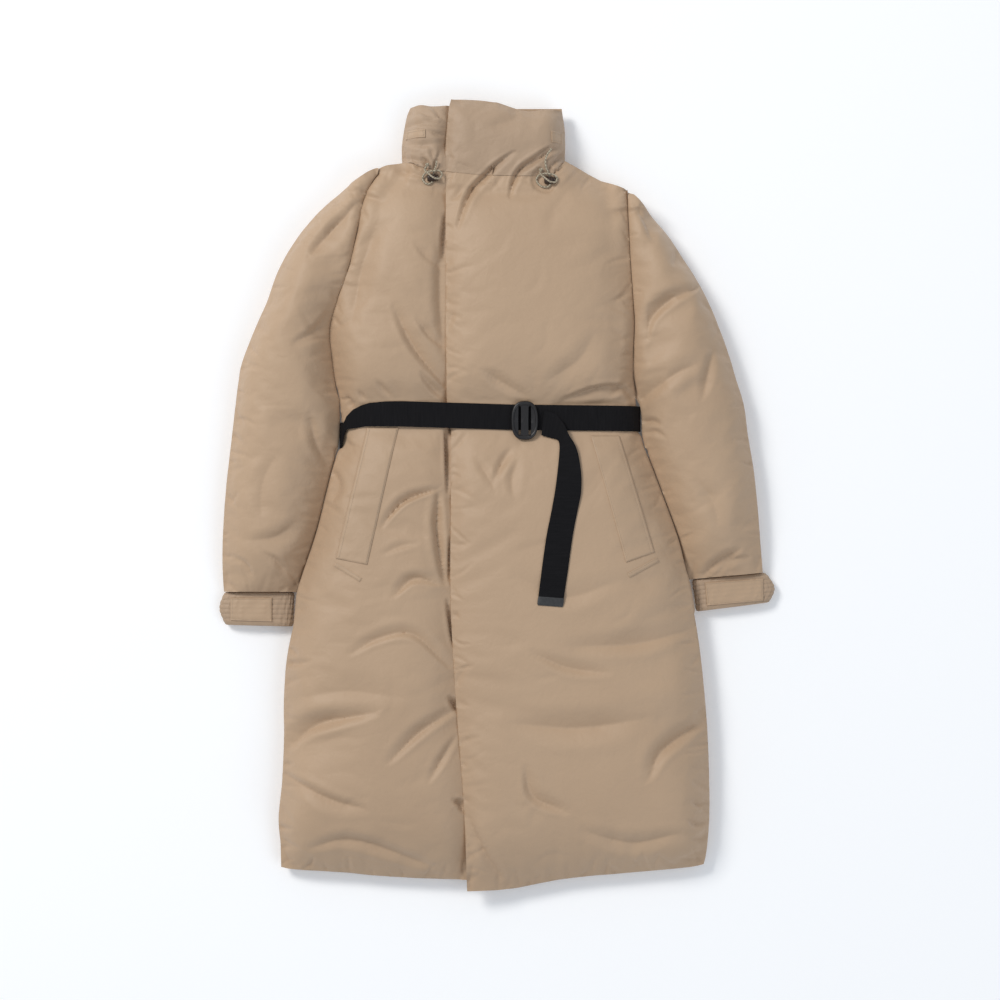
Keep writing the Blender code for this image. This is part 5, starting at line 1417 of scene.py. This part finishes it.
# ---------------------------------------------------------------- tabs of the cuffs and the collar
# Short straps of folded cloth with hook-and-loop behind them: one across each cuff and one at
# each side of the collar, edge-stitched all round.
TABS = {"cuff_tab_right": Trim((-0.4020, -0.1530), (-0.3390, -0.1530), (-0.4020, -0.1880),
                               (-0.3390, -0.1900)),
        "cuff_tab_left": Trim((0.4020, -0.1240), (0.3135, -0.1300), (0.4020, -0.1580),
                              (0.3165, -0.1660)),
        "collar_tab_right": Trim((-0.1360, 0.5470), (-0.1065, 0.5465), (-0.1370, 0.5340),
                                 (-0.1065, 0.5340)),
        "collar_tab_left": Trim((0.0985, 0.5440), (0.0810, 0.5450), (0.0985, 0.5280),
                                (0.0815, 0.5275))}
TAB_THICK = 0.0019
TAB_SEAM = 0.0028
for node, trim in TABS.items():
    bearer = bpy.data.objects["coat_" + node.replace("tab_", "")]
    grain = 0.0012 if node.startswith("cuff") else 0.0007
    tab, thread, size = folded_trim(
        node + "_cloth", trim, tree_of(bearer), TAB_THICK, grain,
        ((0, TAB_SEAM, 0.06, 0.94), (1, TAB_SEAM, 0.06, 0.94), (2, TAB_SEAM, 0.04, 0.96),
         (3, TAB_SEAM, 0.04, 0.96)), TRIM_CLOTH, "trim_cloth", node, stiff=30)


# ---------------------------------------------------------------- belt
# Black ribbed webbing, 38 mm wide, drawn tight round the waist in a full ring: over both fronts,
# round the sides and through the channel under the back.  Its elastic stretches are gathered.
BELT_WIDTH = 0.038
BELT_THICK = 0.0015
STRAP_COLUMNS = 15
BELT_STEP = 0.0016
RING_LAP = 400            # points at each end of the laid-out ring, among which it closes


def webbing_finish():
    """Matt black nylon with close ribs across its width, random streaks of tone along it and a
    painted highlight that makes the ribs' crowns paler.
    """
    material, tree, shader = finish_of("black_ribbed_webbing")
    place = tree.nodes.new("ShaderNodeTexCoord").outputs["UV"]
    ribs = wave_of(tree, place, "X", 240.0, 0.4)
    yarn = wave_of(tree, place, "Y", 520.0, 0.5)
    relief = sum_of(tree, ribs.outputs["Fac"], yarn.outputs["Fac"], 0.8, 0.2)
    stretched = tree.nodes.new("ShaderNodeMapping")
    stretched.inputs["Scale"].default_value = (1.0, 0.05, 1.0)
    tree.links.new(place, stretched.inputs["Vector"])
    streaks = noise_of(tree, stretched.outputs["Vector"], 420.0, 3.0, 0.7)
    # A quarter of the colour mask is the ribs' relief, which puts a painted highlight on their
    # crowns; the rest is random streaks of tone.
    shade = sum_of(tree, streaks.outputs["Fac"], relief, 0.75, 0.25)
    tinted(tree, shader, shade, (0.0018, 0.0016, 0.0024), (0.0092, 0.0082, 0.0094), 0.35, 0.80)
    raised_by(tree, shader, relief, 0.00035, 0.9)
    shader.inputs["Roughness"].default_value = 0.80
    shader.inputs["Specular IOR Level"].default_value = 0.20
    return material


WEBBING = webbing_finish()


def strap(name, centres, across, outward, widths, thick, closed, paint, nodes, swell=None):
    """A flat strap of even thickness along stations, with rounded edges and its own UVs."""
    count = len(centres)
    swell = np.zeros(count) if swell is None else swell
    share = np.linspace(-1, 1, STRAP_COLUMNS)
    edge = np.sqrt(1 - np.abs(share) ** 10)
    gone = gone_along(centres)
    points, width_at = [], []
    for i in range(count):
        side = across[i] * widths[i] / 2
        over = (0.5 + 0.5 * edge)[:, None] * outward[i] * thick / 2
        crown = over + (swell[i] * edge)[:, None] * outward[i]
        points += list(centres[i] + share[:, None] * side + crown)
        points += list(centres[i] + share[::-1, None] * side - over[::-1])
        width_at += list(share * widths[i] / 2) + list(share[::-1] * widths[i] / 2)
    ring = 2 * STRAP_COLUMNS
    faces, marks = [], []
    for i in range(count if closed else count - 1):
        after = (i + 1) % count
        for k in range(ring):
            d = (k + 1) % ring
            faces.append((i * ring + k, i * ring + d, after * ring + d, after * ring + k))
            u0 = gone[i]
            u1 = gone[i + 1] if i + 1 < count else gone[-1] + BELT_STEP
            marks += [(u0, width_at[i * ring + k]), (u0, width_at[i * ring + d]),
                      (u1, width_at[after * ring + d]), (u1, width_at[after * ring + k])]
    if not closed:
        faces.append(tuple(range(ring))[::-1])
        faces.append(tuple((count - 1) * ring + k for k in range(ring)))
        marks += [(0.0, w) for w in width_at[:ring][::-1]]
        marks += [(gone[-1], w) for w in width_at[:ring]]
    points = np.array(points)
    a, b, c = points[list(faces[0][:3])]
    if np.cross(b - a, c - a).dot(outward[0]) < 0:
        faces = [f[::-1] for f in faces]
        flipped, at = [], 0
        for f in faces:
            flipped += marks[at:at + len(f)][::-1]
            at += len(f)
        marks = flipped
    points[:, 2] = points[:, 2].clip(0.0)
    piece = piece_from(name, points, faces, paint, nodes, sharp=55)
    layer = piece.data.uv_layers.new(name="along_the_strap")
    layer.data.foreach_set("uv", np.array(marks, np.float32).ravel())
    return piece


def waist_ring():
    """The belt's middle line in the X-Z plane, as the frame's solid runs, in even steps."""
    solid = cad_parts["belt_strap"]
    edge = {(round(v.co.x, 5), round(v.co.z, 5)) for v in solid.data.vertices
            if v.co.y > belt_y(v.co.x)}
    middle = np.mean(list(edge), axis=0)
    order = sorted(edge, key=lambda p: math.atan2(p[1] - middle[1], p[0] - middle[0]))
    order = np.array(order)
    if np.linalg.norm(order[0] - order[1]) > np.linalg.norm(order[1] - order[2]):
        order = np.roll(order, -1, axis=0)
    ring = (order[0::2] + order[1::2]) / 2
    laps = np.vstack([ring[-2:], ring, ring[:3]])
    fine = curve_through(laps, 0.001)
    gone = gone_along(fine)
    off = np.linalg.norm(fine - ring[0], axis=1)
    start = gone[np.argmin(off[:RING_LAP])]
    end = gone[len(fine) - RING_LAP + np.argmin(off[-RING_LAP:])]
    marks = np.linspace(start, end, int((end - start) / BELT_STEP), endpoint=False)
    return read_off(marks, gone, fine)


waist = waist_ring()
ahead = np.roll(waist, -1, axis=0) - np.roll(waist, 1, axis=0)
ahead /= np.linalg.norm(ahead, axis=1)[:, None]
outward = np.column_stack([ahead[:, 1], np.zeros(len(waist)), -ahead[:, 0]])
seen = eased(waist[:, 1], 0.034, 0.050)
edges = along(BELT_TOP, waist[:, 0]), along(BELT_FOOT, waist[:, 0])
middles = belt_y(waist[:, 0]) * (1 - seen) + (edges[0] + edges[1]) / 2 * seen
widths = BELT_WIDTH * (1 - seen) + (edges[0] - edges[1]) * seen
centres = np.column_stack([waist[:, 0], middles, waist[:, 1]])
across = np.tile((0.0, 1.0, 0.0), (len(waist), 1))
draw = np.random.default_rng(71)
gather = np.convolve(draw.normal(0, 1, len(waist) + 4), (0.25, 0.5, 0.5, 0.5, 0.25), "valid")
elastic = eased(np.abs(centres[:, 0] + 0.005), 0.07, 0.12)
swell = 0.00014 * gather * elastic * (centres[:, 2] > 0.01)
for mark, deep in ((-0.1305, 0.0007), (-0.1710, 0.0004)):
    swell -= deep * np.exp(-((centres[:, 0] - mark) / 0.0011) ** 2) * (centres[:, 2] > 0.03)
belt = strap("waist_belt", centres, across, outward, widths, BELT_THICK, True, WEBBING,
             ["belt_strap"], swell)


# ---------------------------------------------------------------- slider of the belt
# A moulded oval plate with a raised rim and two slots: the belt comes up through one, goes over
# the bar between them and down through the other, so it stays where it is pulled to.
SLIDER_MIDDLE = (0.0413, 0.1125)
SLIDER_SIZE = (0.040, 0.058, 0.0050)
SLIDER_CORNERS = 2.6
SLOT_SIZE = (0.0038, 0.042)
SLOT_CORNERS = 7.0
SLOT_SIDES = 48
SLOT_PITCH = 0.0150
# How much wider a slot is towards the plate's face: (share of the height, widening).
SLOT_FLARE = ((-0.4, 0.0), (0.48, 0.0), (0.58, 0.0003), (0.66, 0.0012), (1.4, 0.0040))
SLIDER_SIDES = 96
# Rings of the plate from the middle of its face over the rim to its underside: (share of the
# outline, share of the height).
SLIDER_RINGS = ((0.05, 0.62), (0.45, 0.62), (0.74, 0.62), (0.78, 0.66), (0.81, 0.86), (0.84, 0.97),
                (0.88, 1.00), (0.93, 0.98), (0.965, 0.88), (0.99, 0.68), (1.00, 0.45),
                (0.99, 0.22), (0.96, 0.06), (0.92, 0.00), (0.50, 0.00), (0.05, 0.00))


def plastic_finish():
    """Black acetal, satin from the mould, with faint scuffs."""
    material, tree, shader = finish_of("black_satin_plastic")
    place = tree.nodes.new("ShaderNodeTexCoord").outputs["Object"]
    scuffs = noise_of(tree, place, 260.0, 4.0, 0.7, 1.5)
    spark = noise_of(tree, place, 2600.0, 2.0)
    tinted(tree, shader, scuffs.outputs["Fac"], (0.0065, 0.0058, 0.0060), (0.014, 0.012, 0.012))
    raised_by(tree, shader, spark.outputs["Fac"], 0.00008, 0.5)
    shader.inputs["Roughness"].default_value = 0.34
    return material


def oval(width, length, corners, sides):
    """An outline between an ellipse (2 for its corners) and a rectangle (many)."""
    angle = np.linspace(0, 2 * math.pi, sides, endpoint=False)
    reach = (np.abs(np.cos(angle)) ** corners + np.abs(np.sin(angle)) ** corners) ** (-1 / corners)
    return np.stack([reach * np.cos(angle) * width / 2, reach * np.sin(angle) * length / 2],
                    axis=1)


def rings_to_mesh(name, rings):
    """A closed mesh from rings of points, with a cap at each end."""
    sides = len(rings[0])
    points = np.concatenate(rings)
    faces = [f[::-1] for f in grid_faces(len(rings), sides, closed=True)]
    faces += [tuple(range(sides)), tuple((len(rings) - 1) * sides + k for k in range(sides))[::-1]]
    mesh = bpy.data.meshes.new(name)
    mesh.from_pydata([tuple(p) for p in points], [], [tuple(map(int, f)) for f in faces])
    shape = bmesh.new()
    shape.from_mesh(mesh)
    bmesh.ops.recalc_face_normals(shape, faces=shape.faces)
    shape.to_mesh(mesh)
    shape.free()
    return mesh


PLASTIC = plastic_finish()
low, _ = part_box("buckle")
outline = oval(SLIDER_SIZE[0], SLIDER_SIZE[1], SLIDER_CORNERS, SLIDER_SIDES)
rings = [np.column_stack([outline * share + SLIDER_MIDDLE,
                          np.full(SLIDER_SIDES, low.z + height * SLIDER_SIZE[2])])
         for share, height in SLIDER_RINGS]
slider = bpy.data.objects.new("belt_slider", rings_to_mesh("belt_slider", rings))
SCENE.collection.objects.link(slider)
cutters = []
for end in (-1, 1):
    slot = oval(SLOT_SIZE[0], SLOT_SIZE[1], SLOT_CORNERS, SLOT_SIDES) + SLIDER_MIDDLE
    slot[:, 0] += end * SLOT_PITCH / 2
    middle = slot.mean(axis=0)
    shaft = []
    for height, flare in SLOT_FLARE:
        out = (slot - middle) / np.linalg.norm(slot - middle, axis=1)[:, None] * flare
        level = np.full(SLOT_SIDES, low.z + height * SLIDER_SIZE[2])
        shaft.append(np.column_stack([slot + out, level]))
    cutter = bpy.data.objects.new("slot_cutter", rings_to_mesh("slot_cutter", shaft))
    SCENE.collection.objects.link(cutter)
    cut = slider.modifiers.new("slot", "BOOLEAN")
    cut.operation, cut.object = "DIFFERENCE", cutter
    cutters.append(cutter)
cut_mesh = bpy.data.meshes.new_from_object(
    slider.evaluated_get(bpy.context.evaluated_depsgraph_get()))
slider.modifiers.clear()
slider.data = cut_mesh
for cutter in cutters:
    bpy.data.objects.remove(cutter)
cut_mesh.materials.clear()
cut_mesh.materials.append(PLASTIC)
cut_mesh.shade_smooth()
cut_mesh.set_sharp_from_angle(angle=math.radians(38))
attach(slider, "root")
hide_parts("buckle")


# ---------------------------------------------------------------- free end of the belt
# The same webbing past the slider.  It lies on the belt, turns over on itself and hangs down
# over the left front; a grey moulded tip closes its end.
# Places along it: left or lower edge, right or upper edge, and how far each is off the cloth.
TAIL = ((0.0660, 0.0905, 0.0705, 0.1270, 0.0016, 0.0016),
        (0.0785, 0.0870, 0.0860, 0.1225, 0.0018, 0.0026),
        (0.0900, 0.0835, 0.0990, 0.1080, 0.0020, 0.0062),
        (0.0930, 0.0760, 0.1075, 0.0905, 0.0016, 0.0078),
        (0.0925, 0.0615, 0.1185, 0.0700, 0.0012, 0.0052),
        (0.0900, 0.0375, 0.1245, 0.0390, 0.0006, 0.0026),
        (0.0863, 0.0090, 0.1250, 0.0075, 0.0006, 0.0010),
        (0.0810, -0.0210, 0.1200, -0.0195, 0.0006, 0.0006),
        (0.0735, -0.0585, 0.1125, -0.0578, 0.0006, 0.0006),
        (0.0668, -0.1050, 0.1058, -0.1050, 0.0006, 0.0006),
        (0.0611, -0.1506, 0.0989, -0.1536, 0.0006, 0.0006),
        (0.0600, -0.1620, 0.0976, -0.1665, 0.0006, 0.0006))
TIP_LENGTH = 0.0130
TIP_THICK = 0.0027
# Along the tip, from the webbing to its end: how far it is drawn in and how its face rises.
TIP_NARROWING = (1.0, 0.2, 0, 0, 0, 0, 0, 0.35, 1.6)
TIP_RIDGES = (-0.00035, 0.0, 0.0, 0.0, 0.00018, 0.0, 0.00018, 0.0, -0.00045)
TAIL_STEP = 0.0020


def tail_stations():
    """Edges of the strap on the cloth: rows of left and right points, eased along its length."""
    fine = curve_through(np.array(TAIL), 0.001)
    gone = gone_along((fine[:, :2] + fine[:, 2:4]) / 2)
    marks = np.linspace(0, gone[-1], int(gone[-1] / TAIL_STEP))
    fine = read_off(marks, gone, fine)
    tree = tree_of(left_front, belt)
    share = np.linspace(0, 1, 9)[None, :, None]
    places = fine[:, None, 0:2] * (1 - share) + fine[:, None, 2:4] * share
    below = surface_under(tree, places, 60)
    left = np.column_stack([fine[:, 0:2], below[:, :3].max(axis=1) + fine[:, 4]])
    right = np.column_stack([fine[:, 2:4], below[:, -3:].max(axis=1) + fine[:, 5]])
    for edge in (left, right):
        wide = np.pad(edge[:, 2], 6, mode="edge")
        even = np.convolve(wide, np.ones(13) / 13, "valid")
        edge[:, 2] = np.maximum(even, edge[:, 2] - 0.0004)
    height = below[:, 3:6].max(axis=1) + fine[:, 4:6].mean(axis=1)
    middle = np.column_stack([places[:, 4], height])
    middle[:, 2] = np.maximum(middle[:, 2], (left[:, 2] + right[:, 2]) / 2)
    return left, middle, right


left, middle, right = tail_stations()
across = right - left
widths = np.linalg.norm(across, axis=1)
across /= widths[:, None]
ahead = np.gradient(middle, axis=0)
ahead /= np.linalg.norm(ahead, axis=1)[:, None]
outward = np.cross(across, -ahead)
outward *= np.sign(outward[:, 2])[:, None]
outward /= np.linalg.norm(outward, axis=1)[:, None]
gone = gone_along(middle)
cloth_end = np.searchsorted(gone, gone[-1] - TIP_LENGTH) + 1
middle[:, 2] += BELT_THICK / 2
tail_strap = strap("belt_end", middle[:cloth_end], across[:cloth_end], outward[:cloth_end],
                   widths[:cloth_end], BELT_THICK, False, WEBBING, ["belt_tail"])


def tip_finish():
    """Dark grey moulded nylon, matt and a little worn."""
    material, tree, shader = finish_of("grey_tip_plastic")
    place = tree.nodes.new("ShaderNodeTexCoord").outputs["Object"]
    wear = noise_of(tree, place, 320.0, 4.0, 0.6)
    tinted(tree, shader, wear.outputs["Fac"], (0.019, 0.019, 0.020), (0.034, 0.034, 0.034))
    raised_by(tree, shader, noise_of(tree, place, 2200.0).outputs["Fac"], 0.00008, 0.5)
    shader.inputs["Roughness"].default_value = 0.46
    return material


start = cloth_end - 2
stations = len(TIP_NARROWING)
tip_middle = middle[start] + np.linspace(0, TIP_LENGTH, stations)[:, None] * ahead[start]
tip_width = BELT_WIDTH + 0.0006 - 0.0016 * np.array(TIP_NARROWING)
strap("belt_end_tip", tip_middle, np.tile(across[start], (stations, 1)),
      np.tile(outward[start], (stations, 1)), tip_width, TIP_THICK, False, tip_finish(),
      ["belt_tip"], np.array(TIP_RIDGES))
